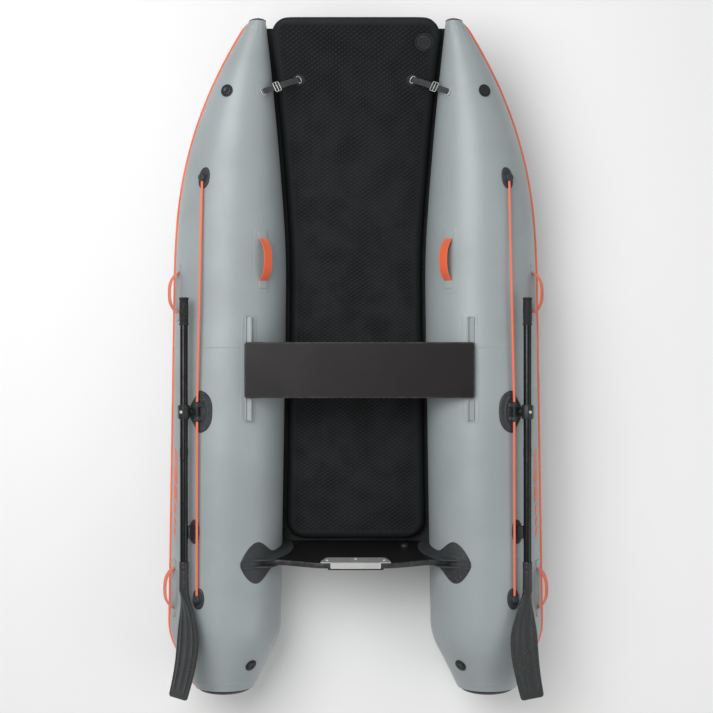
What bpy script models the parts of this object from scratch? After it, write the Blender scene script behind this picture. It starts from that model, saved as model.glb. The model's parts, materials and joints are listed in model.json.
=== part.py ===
"""Inflatable catamaran with a drop-stitch deck, a sliding seat and a pair of oars.

Frame: +X starboard, +Y bow, +Z up, metres.  The boat stands on its two tubes,
with the origin on that floor under the middle of its length and beam.
"""

import math

import bmesh
import bpy
from mathutils import Matrix, Vector

# ---------------------------------------------------------------- sizes
GAP = 0.0004            # left between solids that touch
SIDES = {"left": -1, "right": 1}

# tubes
TUBE_RADIUS = 0.215
TUBE_SPACING = 0.982    # between the tube axes amidships
TOE_IN = 0.0155         # the axes close towards the bow, m per m
BOW_Y = 1.290           # tip of the bow cone
TAPER_START_Y = 0.235
TAPER_POWER = 2.3
TIP_RADIUS = 0.027
BOW_CURVE_Y = 0.500     # the bows curve inboard from here
BOW_CURVE_IN = 0.103
BOW_CURVE_POWER = 2.2
BOW_LIFT_Y = 0.200      # the bows sweep up from here
BOW_LIFT = 0.185
BOW_LIFT_POWER = 1.7
STERN_Y = -1.268        # end of the stern cone
STERN_CONE_LENGTH = 0.257
STERN_CONE_SLOPE = 0.492
STERN_BLEND = 0.100
CAP_BULGE = 0.027
TUBE_SEGMENTS = 28

# rubbing strake
STRAKE_ANGLE = 88.0
STRAKE_HEIGHT = 0.030
STRAKE_THICKNESS = 0.008

# bottom sheet and deck mat
SHEET_THICKNESS = 0.004
SHEET_FRONT_Y = 1.262
SHEET_DEPTH = 0.558     # sheet height below the tube axis, in tube radii, amidships
MAT_THICKNESS = 0.065
MAT_FRONT_Y = 1.293
MAT_BACK_Y = -0.703
MAT_SIDE_GAP = 0.012
MAT_CORNER = 0.078
DECK_VALVE_XY = (0.259, 1.205)
DECK_VALVE_RADIUS = 0.036

# transom
TRANSOM_Y = -0.762      # forward face at the top edge, amidships
TRANSOM_THICKNESS = 0.020
TRANSOM_TOP = 2 * TUBE_RADIUS  # level with the tubes
TRANSOM_END_TOP = TRANSOM_TOP - 0.052
TRANSOM_RAKE = 8.0
TRANSOM_TUBE_GAP = 0.005
HOLDER_WALL = 0.006
HOLDER_FLANGE = 0.045
HOLDER_TOP_ANGLE = -20.0
HOLDER_LOW_ANGLE = -114.0
HOLDER_WIDE_ANGLE = -37.0
HOLDER_HALF_LENGTH = 0.078
HOLDER_PAD = 0.005
HOLDER_SLOT = 0.003     # thickness under the end of the board
PLATE_WIDTH = 0.266
PLATE_HEIGHT = 0.070
PLATE_THICKNESS = 0.003
PLATE_TAB_WIDTH = 0.190
PAD_WIDTH = 0.210
PAD_HEIGHT = 0.170
PAD_THICKNESS = 0.006
DRAIN_SIDE_GAP = 0.0918  # from its middle to the end of the transom
DRAIN_Z = 0.200
DRAIN_RADIUS = 0.019

# seat, held a little to starboard of the middle
SEAT_OFFSET_X = 0.014
SEAT_LENGTH = 0.862
SEAT_WIDTH = 0.210
SEAT_THICKNESS = 0.015
SEAT_Y = -0.036
SEAT_UNDERSIDE_Z = 2 * TUBE_RADIUS + 0.0045
RAIL_WIDTH = 0.027
RAIL_FRONT_Y = 0.164
RAIL_BACK_Y = -0.226
RAIL_RIDGE = 0.006
RAIL_CHANNEL_DEPTH = 0.008
RAIL_BASE = 0.0025
SLIDER_CLEARANCE = 0.001

# webbing handles
WEB_WIDTH = 0.036
WEB_THICKNESS = 0.003
HANDLE_RISE = 0.032
HANDLE_LENGTH = 0.157
HANDLE_FOOT = 0.014
INNER_HANDLE = (-39.0, 0.381)        # angle on the tube, middle
OUTER_HANDLES = {"front": (65.0, 0.260), "rear": (65.0, -0.873)}

# oarlock, in its own frame: out along the tube's tangent, Y, and up off the tube
LOCK_Y = -0.193
LOCK_ANGLE = 26.0
LOCK_BASE_LENGTH = 0.158
LOCK_BASE_SPAN = 28.0
LOCK_BASE_THICKNESS = 0.005
HINGE_HEIGHT = 0.018
HINGE_PIN_RADIUS = 0.004
PIN_CLEARANCE = 0.0005
LUG_INNER = 0.017
LUG_THICKNESS = 0.017
LUG_RADIUS = 0.010
LUG_FOOT = 0.020
SPOOL_RADIUS = 0.0085
ARM_REACH = 0.038
ARM_HALF_WIDTH = 0.014
ARM_UNDERSIDE = 0.0105
ARM_THICKNESS = 0.010
BOSS_RADIUS = 0.017
BOSS_TOP = 0.0262
SWIVEL_RADIUS = 0.005

# oar
SHAFT_RADIUS = 0.015
SHAFT_HEIGHT = 0.050
COLLAR_RADIUS = 0.022
COLLAR_LENGTH = 0.050
GRIP_FRONT_Y = 0.237
GRIP_LENGTH = 0.104
GRIP_RADIUS = 0.0185
SOCKET_FRONT_Y = -0.7545
SOCKET_RADIUS = 0.0182
BLADE_NECK_Y = -0.862
BLADE_TIP_Y = -1.263
BLADE_HALF_WIDTH = 0.0705
BLADE_TIP_HALF_WIDTH = 0.059
BLADE_THICKNESS = 0.009
BLADE_BELLY = 0.024
BLADE_TIP_RISE = 0.028
BLADE_TILT = {"left": 49.0, "right": 38.0}
CLIP_Y = -0.646
CLIP_LENGTH = 0.045
CLIP_WALL = 0.006
CLIP_WRAP = 56.0

# fittings
ROPE_RADIUS = 0.0048
FRONT_EYE = (29.6, 0.686)            # angle on the tube, middle
REAR_EYE = (24.0, -0.898)
EYE_LENGTH = 0.080
EYE_WIDTH = 0.048
EYE_BOSS_RADIUS = 0.015
EYE_BOSS_HEIGHT = 0.024
BOW_VALVE = (22.5, 1.0115)
STERN_VALVE = (-41.1, -1.163)
VALVE_RADIUS = 0.023
VALVE_HEIGHT = 0.006
STRAP_TUBE = (-44.0, 1.012)
STRAP_DECK_XY = (0.217, 1.072)
STRAP_WIDTH = 0.022
STRAP_THICKNESS = 0.003


# ---------------------------------------------------------------- hull lines
def ramp(y, start, end):
    """0 before start, 1 at end, in a straight line between."""
    return min(1.0, max(0.0, (y - start) / (end - start)))


def tube_radius(y):
    """Full amidships, a curved cone to the bow tip and a straight cone to the stern."""
    if y >= TAPER_START_Y:
        share = ramp(y, TAPER_START_Y, BOW_Y) ** TAPER_POWER
        return TUBE_RADIUS - (TUBE_RADIUS - TIP_RADIUS) * share
    behind = max(0.0, (STERN_Y + STERN_CONE_LENGTH) - y)
    if behind < STERN_BLEND:
        return TUBE_RADIUS - STERN_CONE_SLOPE * behind ** 2 / (2 * STERN_BLEND)
    return TUBE_RADIUS - STERN_CONE_SLOPE * (behind - STERN_BLEND / 2)


def tube_x(y):
    curve = ramp(y, BOW_CURVE_Y, BOW_Y) ** BOW_CURVE_POWER
    return TUBE_SPACING / 2 - TOE_IN * y - BOW_CURVE_IN * curve


def tube_z(y):
    return TUBE_RADIUS + BOW_LIFT * ramp(y, BOW_LIFT_Y, BOW_Y) ** BOW_LIFT_POWER


def on_tube(side, y, degrees, height=0.0, across=0.0):
    """Point over a tube: degrees from its top towards the outboard side."""
    turn = math.radians(degrees)
    reach = tube_radius(y) + height
    out = tube_x(y) + reach * math.sin(turn) + across * math.cos(turn)
    up = tube_z(y) + reach * math.cos(turn) - across * math.sin(turn)
    return Vector((side * out, y, up))


def sheet_z(y):
    """Underside of the bottom sheet: it meets the tubes ever lower towards the bow."""
    depth = SHEET_DEPTH + (1 - SHEET_DEPTH) * ramp(y, BOW_LIFT_Y, BOW_Y) ** 2
    return tube_z(y) - depth * tube_radius(y)


def mat_bottom(y):
    return sheet_z(y) + SHEET_THICKNESS + GAP


def mat_top(y):
    return mat_bottom(y) + MAT_THICKNESS


def transom_front(z):
    """Y of the transom's forward face at height z."""
    return TRANSOM_Y + (TRANSOM_TOP - z) * math.tan(math.radians(TRANSOM_RAKE))


# ---------------------------------------------------------------- modelling tools
def material(name, colour, roughness, metallic=0.0):
    made = bpy.data.materials.get(name)
    if made is None:
        made = bpy.data.materials.new(name)
        made.use_nodes = True
        shader = made.node_tree.nodes["Principled BSDF"]
        shader.inputs["Base Color"].default_value = (*colour, 1.0)
        shader.inputs["Roughness"].default_value = roughness
        shader.inputs["Metallic"].default_value = metallic
    return made


FINISHES = {
    "grey_pvc": ((0.33, 0.37, 0.38), 0.45, 0.0),
    "black_pvc": ((0.02, 0.022, 0.024), 0.5, 0.0),
    "deck_fabric": ((0.012, 0.014, 0.015), 0.7, 0.0),
    "orange_pvc": ((0.83, 0.13, 0.05), 0.5, 0.0),
    "orange_web": ((0.82, 0.12, 0.05), 0.7, 0.0),
    "orange_rope": ((0.95, 0.17, 0.08), 0.7, 0.0),
    "black_rubber": ((0.03, 0.034, 0.038), 0.6, 0.0),
    "black_plastic": ((0.015, 0.017, 0.018), 0.45, 0.0),
    "painted_ply": ((0.012, 0.009, 0.01), 0.35, 0.0),
    "bare_aluminium": ((0.6, 0.6, 0.6), 0.4, 1.0),
    "black_alloy": ((0.02, 0.022, 0.022), 0.35, 0.6),
}


def finish_of(kind):
    return material(kind, *FINISHES[kind])


def add(name, bm, kind, smooth_angle=35.0):
    """Turn a bmesh into a named object with outward faces, its own finish and smooth shading."""
    bmesh.ops.recalc_face_normals(bm, faces=bm.faces[:])
    mesh = bpy.data.meshes.new(name)
    bm.to_mesh(mesh)
    bm.free()
    mesh.materials.append(finish_of(kind))
    mesh.shade_smooth()
    mesh.set_sharp_from_angle(angle=math.radians(smooth_angle))
    made = bpy.data.objects.new(name, mesh)
    bpy.context.scene.collection.objects.link(made)
    return made


def skin(name, rings, kind, smooth_angle=35.0):
    """Closed body through rings of equal length, with flat ends."""
    bm = bmesh.new()
    loops = [[bm.verts.new(point) for point in ring] for ring in rings]
    for near, far in zip(loops, loops[1:]):
        for i in range(len(near)):
            j = (i + 1) % len(near)
            bm.faces.new((near[i], near[j], far[j], far[i]))
    bm.faces.new(loops[0])
    bm.faces.new(loops[-1])
    return add(name, bm, kind, smooth_angle)


def prism(name, outline, low, high, kind, place=None):
    """Body of a flat outline [(a, b), ...] in local X and Z, between local Y low and high."""
    bm = bmesh.new()
    face = bm.faces.new([bm.verts.new((a, low, b)) for a, b in outline])
    made = bmesh.ops.extrude_face_region(bm, geom=[face])
    moved = [item for item in made["geom"] if isinstance(item, bmesh.types.BMVert)]
    bmesh.ops.translate(bm, vec=(0, high - low, 0), verts=moved)
    if place:
        bmesh.ops.transform(bm, matrix=place, verts=bm.verts[:])
    return add(name, bm, kind)


def rod(name, start, end, radius, kind, segments=16, end_radius=None, place=None):
    """Round bar or cone from start to end."""
    start, end = Vector(start), Vector(end)
    along = end - start
    turn = along.to_track_quat("Z", "Y").to_matrix().to_4x4()
    bm = bmesh.new()
    bmesh.ops.create_cone(bm, cap_ends=True, segments=segments, radius1=radius,
                          radius2=radius if end_radius is None else end_radius,
                          depth=along.length,
                          matrix=Matrix.Translation((start + end) / 2) @ turn)
    if place:
        bmesh.ops.transform(bm, matrix=place, verts=bm.verts[:])
    return add(name, bm, kind)


def combine(body, tool, operation):
    """Join or cut body by tool, which stays as a hidden guide."""
    step = body.modifiers.new(f"{operation.lower()}_{tool.name}", "BOOLEAN")
    step.operation = operation
    step.object = tool
    step.solver = "EXACT"
    tool.hide_render = True
    tool.display_type = "WIRE"


def hang_on(body, pivot):
    """Put a moving piece's origin on its joint, with its shape left in place."""
    body.data.transform(Matrix.Translation(-Vector(pivot)))
    body.location = pivot


def spread(start, end, count):
    return [start + (end - start) * i / (count - 1) for i in range(count)]


def arc(centre, radius, first, last, count):
    """Points on an arc in a plane, angles in degrees."""
    return [(centre[0] + radius * math.cos(math.radians(turn)),
             centre[1] + radius * math.sin(math.radians(turn)))
            for turn in spread(first, last, count)]


# ---------------------------------------------------------------- hull
def tube_stations():
    """Ring places along a tube, closer together where it tapers."""
    stern = spread(STERN_Y, STERN_Y + STERN_CONE_LENGTH, 8)
    middle = spread(STERN_Y + STERN_CONE_LENGTH, TAPER_START_Y, 7)
    bow = [TAPER_START_Y + (BOW_Y - TAPER_START_Y) * (1 - (1 - i / 15) ** 1.3)
           for i in range(1, 15)]
    return stern + middle[1:] + bow


def build_tubes():
    turns = [360.0 * i / TUBE_SEGMENTS for i in range(TUBE_SEGMENTS)]
    cap_y = BOW_Y - 0.010
    for label, side in SIDES.items():
        places = [y for y in tube_stations() if y < cap_y - 0.004] + [cap_y]
        skin(f"{label}_tube", [[on_tube(side, y, turn) for turn in turns] for y in places],
             "grey_pvc")
        skin(f"{label}_bow_cap",
             [[on_tube(side, cap_y + GAP, turn) for turn in turns],
              [on_tube(side, BOW_Y - 0.003, turn, -0.002) for turn in turns],
              [on_tube(side, BOW_Y, turn, -0.012) for turn in turns]], "black_pvc")
        end = tube_radius(STERN_Y)
        rings = []
        for turn_in in (0, 25, 50, 72):
            reach = 0.9 * end * math.cos(math.radians(turn_in))
            y = STERN_Y - GAP - CAP_BULGE * math.sin(math.radians(turn_in))
            middle = Vector((side * tube_x(STERN_Y), y, tube_z(STERN_Y)))
            rings.append([middle + Vector((reach * math.sin(math.radians(t)), 0,
                                           reach * math.cos(math.radians(t)))) for t in turns])
        skin(f"{label}_stern_cap", rings, "black_pvc")


def build_strakes():
    for label, side in SIDES.items():
        rings = []
        for y in [y for y in tube_stations() if y < BOW_Y - 0.02]:
            half = math.degrees(STRAKE_HEIGHT / 2 / max(tube_radius(y), 0.06))
            outer = [on_tube(side, y, STRAKE_ANGLE + share * half,
                             STRAKE_THICKNESS * (1 - 0.75 * share ** 2))
                     for share in (-1, -0.5, 0, 0.5, 1)]
            inner = [on_tube(side, y, STRAKE_ANGLE + share * half, GAP)
                     for share in (1, 0.5, 0, -0.5, -1)]
            rings.append(outer + inner)
        skin(f"{label}_rubbing_strake", rings, "orange_pvc")


def mat_stations():
    """Ring places along the mat, close together at its round ends."""
    ends = [0.0, 0.004, 0.015, 0.035, MAT_CORNER]
    return ([MAT_BACK_Y + e for e in ends] + spread(MAT_BACK_Y + 0.18, BOW_LIFT_Y, 4)
            + spread(BOW_LIFT_Y + 0.12, MAT_FRONT_Y - 0.12, 9)
            + [MAT_FRONT_Y - e for e in reversed(ends)])


def build_bottom_sheet():
    back = transom_front(sheet_z(0) + SHEET_THICKNESS) - TRANSOM_THICKNESS - 0.03
    rings = []
    for y in [back] + [y for y in mat_stations() if y < SHEET_FRONT_Y] + [SHEET_FRONT_Y]:
        low = sheet_z(y)
        high = low + SHEET_THICKNESS
        radius = tube_radius(y)
        reach = []
        for z in (low, high):
            drop = min(radius, abs(tube_z(y) - z))
            reach.append(tube_x(y) - math.sqrt(radius ** 2 - drop ** 2) - 3 * GAP)
        half = min(reach)
        rings.append([(-half, y, low), (half, y, low), (half, y, high), (-half, y, high)])
    skin("bottom_sheet", rings, "black_pvc")


def mat_half_width(y):
    """Side of the mat: just inside the tubes, rounded in plan at both ends."""
    side = tube_x(y) - tube_radius(y) - MAT_SIDE_GAP
    near_end = min(MAT_FRONT_Y - y, y - MAT_BACK_Y)
    if near_end < MAT_CORNER:
        side -= MAT_CORNER - math.sqrt(MAT_CORNER ** 2 - (MAT_CORNER - near_end) ** 2)
    return side


def build_deck_mat():
    """Closed pad with half-round sides that follows the bottom sheet."""
    radius = MAT_THICKNESS / 2
    rings = []
    for y in mat_stations():
        near_end = min(MAT_FRONT_Y - y, y - MAT_BACK_Y)
        squash = math.sqrt(1 - (1 - min(1.0, near_end / radius)) ** 2) * 0.94 + 0.06
        half = mat_half_width(y)
        middle = mat_bottom(y) + radius
        outline = (arc((half - radius, 0), radius, -90, 90, 7)
                   + arc((-half + radius, 0), radius, 90, 270, 7))
        rings.append([(x, y, middle + z * squash) for x, z in outline])
    skin("deck_mat", rings, "deck_fabric")
    x, y = DECK_VALVE_XY
    slope = math.atan((mat_top(y + 0.03) - mat_top(y - 0.03)) / 0.06)
    place = Matrix.Translation((x, y, mat_top(y) + 0.0035)) @ Matrix.Rotation(slope, 4, "X")
    valve = rod("deck_valve", (0, 0, 0), (0, 0, 0.005), DECK_VALVE_RADIUS, "black_plastic",
                24, DECK_VALVE_RADIUS - 0.003, place)
    return valve


# ---------------------------------------------------------------- transom
def transom_top(x):
    """Top edge: level over the middle, falling in a smooth curve to the ends."""
    share = ramp(abs(x), 0.10, 0.33)
    ease = share * share * (3 - 2 * share)
    return TRANSOM_TOP - (TRANSOM_TOP - TRANSOM_END_TOP) * ease


def transom_side(z):
    """Half width at height z: the board is cut to the round of the tubes."""
    y = transom_front(z)
    reach = tube_radius(y) + TRANSOM_TUBE_GAP
    return tube_x(y) - math.sqrt(reach ** 2 - (z - tube_z(y)) ** 2)


def lean(outline):
    """Front and back of a raked board from its (x, z) outline."""
    front = [(x, transom_front(z), z) for x, z in outline]
    back = [(x, transom_front(z) - TRANSOM_THICKNESS, z) for x, z in outline]
    return front, back


def build_transom():
    bottom = sheet_z(TRANSOM_Y) + SHEET_THICKNESS + GAP
    side = [(transom_side(z), z) for z in spread(bottom, TRANSOM_END_TOP, 12)]
    top = [(x, transom_top(x)) for x in spread(0.325, -0.325, 18)]
    outline = side + top + [(-x, z) for x, z in reversed(side)]
    front, back = lean(outline)
    skin("transom_board", [front, back], "painted_ply", 30)

    half, tab, low = PLATE_WIDTH / 2, PLATE_TAB_WIDTH / 2, TRANSOM_TOP - PLATE_HEIGHT
    t, high = PLATE_THICKNESS, TRANSOM_TOP
    back_y = transom_front(high) - TRANSOM_THICKNESS
    face = [(-half, high - 0.012), (-half + 0.02, low), (half - 0.02, low), (half, high - 0.012),
            (half, high), (-half, high)]
    plate = skin("motor_plate",
                 [[(x, transom_front(z) + GAP, min(z, high - 0.001)) for x, z in face],
                  [(x, transom_front(z) + GAP + t, min(z, high - 0.001)) for x, z in face]],
                 "bare_aluminium", 30)
    fold = prism("plate_fold", [(-tab, 0.0), (tab, 0.0), (tab, t), (-tab, t)],
                 back_y + GAP, transom_front(high) + GAP + t, "bare_aluminium",
                 Matrix.Translation((0, 0, high + GAP)))
    lip = prism("plate_lip", [(-tab, -0.004), (tab, -0.004), (tab, t), (-tab, t)],
                transom_front(high) + GAP * 2, transom_front(high) + GAP + t, "bare_aluminium",
                Matrix.Translation((0, 0, high + GAP)))
    combine(plate, lip, "UNION")
    combine(plate, fold, "UNION")

    wide, base = PAD_WIDTH / 2, TRANSOM_TOP - PAD_HEIGHT
    outline = [(-wide, high), (-wide, base + 0.03), (-wide + 0.03, base),
               (wide - 0.03, base), (wide, base + 0.03), (wide, high)]
    rear = -TRANSOM_THICKNESS - GAP
    skin("motor_pad",
         [[(x, transom_front(z) + rear, z) for x, z in outline],
          [(x, transom_front(z) + rear - PAD_THICKNESS, z) for x, z in outline]],
         "black_plastic", 30)

    face_y = transom_front(DRAIN_Z) + GAP
    tilt = Matrix.Rotation(math.radians(TRANSOM_RAKE), 4, "X")
    drain_x = transom_side(DRAIN_Z) - DRAIN_SIDE_GAP
    place = Matrix.Translation((drain_x, face_y, DRAIN_Z)) @ tilt
    rod("drain_valve", (0, 0, 0), (0, 0.012, 0), DRAIN_RADIUS, "black_plastic", 20,
        DRAIN_RADIUS * 0.8, place)


def holder_half_length(turn):
    """Half length along Y of the holder's pad at an angle on the tube."""
    foot = TRANSOM_THICKNESS / 2 + HOLDER_WALL + 0.014
    if turn > HOLDER_WIDE_ANGLE:
        tip = foot - 0.010
        share = math.sin(math.pi / 2 * ramp(turn, HOLDER_TOP_ANGLE, HOLDER_WIDE_ANGLE)) ** 0.9
        return tip + (HOLDER_HALF_LENGTH - tip) * share
    share = 1 - ramp(turn, HOLDER_WIDE_ANGLE, HOLDER_WIDE_ANGLE - 24)
    return foot + (HOLDER_HALF_LENGTH - foot) * share * share * (3 - 2 * share)


def build_transom_holders():
    """Pad glued on the tube, with two flanges that grip the end of the transom."""
    inner = TRANSOM_THICKNESS / 2 + GAP
    outer = inner + HOLDER_WALL
    turns = spread(HOLDER_TOP_ANGLE, HOLDER_LOW_ANGLE, 20)
    for label, side in SIDES.items():
        rings = []
        for turn in turns:
            half = holder_half_length(turn)
            rise = ramp(turn, -27, -46)
            flange = HOLDER_PAD + (HOLDER_FLANGE - HOLDER_PAD) * rise
            slot = HOLDER_SLOT
            section = [(-half, 0.0005), (half, 0.0005), (half, 0.0025), (outer, HOLDER_PAD),
                       (outer - 0.0005, flange), (inner, flange), (inner, slot),
                       (-inner, slot), (-inner, flange), (-outer + 0.0005, flange),
                       (-outer, HOLDER_PAD), (-half, 0.0025)]
            ring = []
            for along, height in section:
                z = on_tube(side, TRANSOM_Y, turn, height).z
                middle = transom_front(z) - TRANSOM_THICKNESS / 2
                ring.append(on_tube(side, middle + along, turn, height))
            rings.append(ring)
        skin(f"{label}_transom_holder", rings, "black_rubber", 30)


# ---------------------------------------------------------------- seat
def rail_x(side):
    return side * (SEAT_LENGTH - RAIL_WIDTH) / 2 + SEAT_OFFSET_X


def tube_top_z(x, y):
    """Height of the tube's upper surface at x, y."""
    return tube_z(y) + math.sqrt(tube_radius(y) ** 2 - (abs(x) - tube_x(y)) ** 2)


def build_seat():
    half = RAIL_WIDTH / 2
    ridge_top = SEAT_UNDERSIDE_Z - SLIDER_CLEARANCE
    floor_z = ridge_top - RAIL_CHANNEL_DEPTH
    for label, side in SIDES.items():
        middle = rail_x(side)
        rings = []
        for y in spread(RAIL_BACK_Y, RAIL_FRONT_Y, 7):
            under = [(x, tube_top_z(x, y) + 2 * GAP) for x in spread(middle - half, middle + half, 7)]
            top = [(middle + half, ridge_top), (middle + half - RAIL_RIDGE, ridge_top),
                   (middle + half - RAIL_RIDGE, floor_z), (middle - half + RAIL_RIDGE, floor_z),
                   (middle - half + RAIL_RIDGE, ridge_top), (middle - half, ridge_top)]
            rings.append([(x, y, z) for x, z in under + top])
        skin(f"{label}_seat_rail", rings, "grey_pvc", 30)

    pivot = (SEAT_OFFSET_X, SEAT_Y, SEAT_UNDERSIDE_Z)
    bm = bmesh.new()
    bmesh.ops.create_cube(bm, size=1.0)
    bmesh.ops.scale(bm, vec=(SEAT_LENGTH, SEAT_WIDTH, SEAT_THICKNESS), verts=bm.verts[:])
    bmesh.ops.translate(bm, vec=(SEAT_OFFSET_X, SEAT_Y, SEAT_UNDERSIDE_Z + SEAT_THICKNESS / 2),
                        verts=bm.verts[:])
    seat = add("seat_board", bm, "painted_ply")
    hang_on(seat, pivot)
    rounding = seat.modifiers.new("rounded_edges", "BEVEL")
    rounding.width = 0.004
    rounding.segments = 2

    tongue = half - RAIL_RIDGE - SLIDER_CLEARANCE
    for label, side in SIDES.items():
        low = floor_z + SLIDER_CLEARANCE
        high = SEAT_UNDERSIDE_Z - GAP
        outline = [(-tongue, low), (tongue, low), (tongue, high), (-tongue, high)]
        slider = prism(f"{label}_seat_slider", outline, SEAT_Y - SEAT_WIDTH / 2 + 0.01,
                       SEAT_Y + SEAT_WIDTH / 2 - 0.01, "black_plastic",
                       Matrix.Translation((rail_x(side), 0, 0)))
        hang_on(slider, pivot)


# ---------------------------------------------------------------- handles, straps, ropes
def webbing_loop(name, side, degrees, middle):
    """Flat strap that rises off the tube between two flat feet."""
    half = HANDLE_LENGTH / 2
    rings = []
    for along in spread(-half, half, 17):
        free = max(0.0, 1 - (abs(along) / (half - HANDLE_FOOT)) ** 2)
        low = 0.0006 + HANDLE_RISE * free
        rings.append([on_tube(side, middle + along, degrees, low, -WEB_WIDTH / 2),
                      on_tube(side, middle + along, degrees, low, WEB_WIDTH / 2),
                      on_tube(side, middle + along, degrees, low + WEB_THICKNESS, WEB_WIDTH / 2),
                      on_tube(side, middle + along, degrees, low + WEB_THICKNESS,
                              -WEB_WIDTH / 2)])
    skin(name, rings, "orange_web")


def build_handles():
    for label, side in SIDES.items():
        webbing_loop(f"{label}_inner_handle", side, *INNER_HANDLE)
        for place, (degrees, middle) in OUTER_HANDLES.items():
            webbing_loop(f"{label}_{place}_handle", side, degrees, middle)


def build_bow_straps():
    """Webbing with a buckle, from a ring on the tube down to a ring on the deck."""
    for label, side in SIDES.items():
        top = on_tube(side, STRAP_TUBE[1], STRAP_TUBE[0], 0.006)
        x, y = STRAP_DECK_XY
        foot = Vector((side * x, y, mat_top(y) + 0.012))
        run = foot - top
        across = run.cross(Vector((0, 0, 1))).normalized() * STRAP_WIDTH / 2
        lift = across.cross(run).normalized() * STRAP_THICKNESS
        if lift.z < 0:
            lift = -lift
        rings = []
        for share, thick in ((0, 1), (0.28, 1), (0.30, 3), (0.42, 3), (0.44, 1), (1, 1)):
            spot = top + run * share
            rings.append([spot - across, spot + across, spot + across + lift * thick,
                          spot - across + lift * thick])
        skin(f"{label}_bow_strap", rings, "black_pvc")


def eye_boss(side, eye):
    """Middle of an eye's boss, above the tube."""
    return on_tube(side, eye[1], eye[0], EYE_BOSS_HEIGHT * 0.55)


def build_rope_eyes():
    for label, side in SIDES.items():
        for place, (degrees, middle) in (("front", FRONT_EYE), ("rear", REAR_EYE)):
            wide = math.degrees(EYE_WIDTH / 2 / tube_radius(middle))
            rings = []
            for share in (-1, -0.85, -0.5, 0, 0.5, 0.85, 1):
                y = middle + share * EYE_LENGTH / 2
                half = wide * math.sqrt(max(0.12, 1 - share ** 2))
                turns = spread(degrees - half, degrees + half, 7)
                rings.append([on_tube(side, y, turn, 0.004) for turn in turns]
                             + [on_tube(side, y, turn, GAP) for turn in reversed(turns)])
            pad = skin(f"{label}_{place}_rope_eye", rings, "black_rubber", 30)
            boss = rod(f"{label}_{place}_eye_boss", on_tube(side, middle, degrees, 0.002),
                       on_tube(side, middle, degrees, EYE_BOSS_HEIGHT), EYE_BOSS_RADIUS,
                       "black_rubber", 14, EYE_BOSS_RADIUS * 0.75)
            combine(pad, boss, "UNION")


def taut_line(name, start, end):
    """Rope pulled tight between two fittings."""
    line = bpy.data.curves.new(name, "CURVE")
    line.dimensions = "3D"
    line.bevel_depth = ROPE_RADIUS
    line.bevel_resolution = 2
    line.use_fill_caps = True
    spline = line.splines.new("POLY")
    spline.points.add(4)
    for i, point in enumerate(spline.points):
        point.co = (*start.lerp(end, i / 4), 1.0)
    line.materials.append(finish_of("orange_rope"))
    made = bpy.data.objects.new(name, line)
    bpy.context.scene.collection.objects.link(made)


def build_grab_lines():
    lug_end = LUG_INNER + LUG_THICKNESS + GAP
    for label, side in SIDES.items():
        place = lock_place(side)
        front_eye = eye_boss(side, FRONT_EYE)
        rear_eye = eye_boss(side, REAR_EYE)
        front_lug = place @ Vector((0, lug_end, HINGE_HEIGHT))
        rear_lug = place @ Vector((0, -lug_end, HINGE_HEIGHT))
        reach = EYE_BOSS_RADIUS + GAP
        taut_line(f"{label}_front_grab_line",
                  front_eye + (front_lug - front_eye).normalized() * reach, front_lug)
        taut_line(f"{label}_rear_grab_line", rear_lug,
                  rear_eye + (rear_lug - rear_eye).normalized() * reach)


def build_valves():
    for label, side in SIDES.items():
        for place, (degrees, middle) in (("bow", BOW_VALVE), ("stern", STERN_VALVE)):
            rise = 0.0012 + VALVE_RADIUS ** 2 / (2 * tube_radius(middle)) * 0.2
            step = 0.01
            ahead = on_tube(side, middle + step, degrees) - on_tube(side, middle - step, degrees)
            round_ = on_tube(side, middle, degrees + 1) - on_tube(side, middle, degrees - 1)
            normal = ahead.cross(round_).normalized()
            outward = on_tube(side, middle, degrees, 1) - on_tube(side, middle, degrees)
            if normal.dot(outward) < 0:
                normal = -normal
            foot = on_tube(side, middle, degrees) + normal * rise
            rod(f"{label}_{place}_valve", foot, foot + normal * VALVE_HEIGHT, VALVE_RADIUS,
                "black_plastic", 20, VALVE_RADIUS * 0.85)


# ---------------------------------------------------------------- oarlocks and oars
def lock_place(side):
    """From the oarlock's frame (out, Y, up off the tube) to the boat's."""
    turn = math.radians(LOCK_ANGLE)
    out = Vector((side * math.cos(turn), 0, -math.sin(turn)))
    up = Vector((side * math.sin(turn), 0, math.cos(turn)))
    place = Matrix((out, Vector((0, 1, 0)), up)).transposed().to_4x4()
    place.translation = on_tube(side, LOCK_Y, LOCK_ANGLE)
    return place


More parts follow.
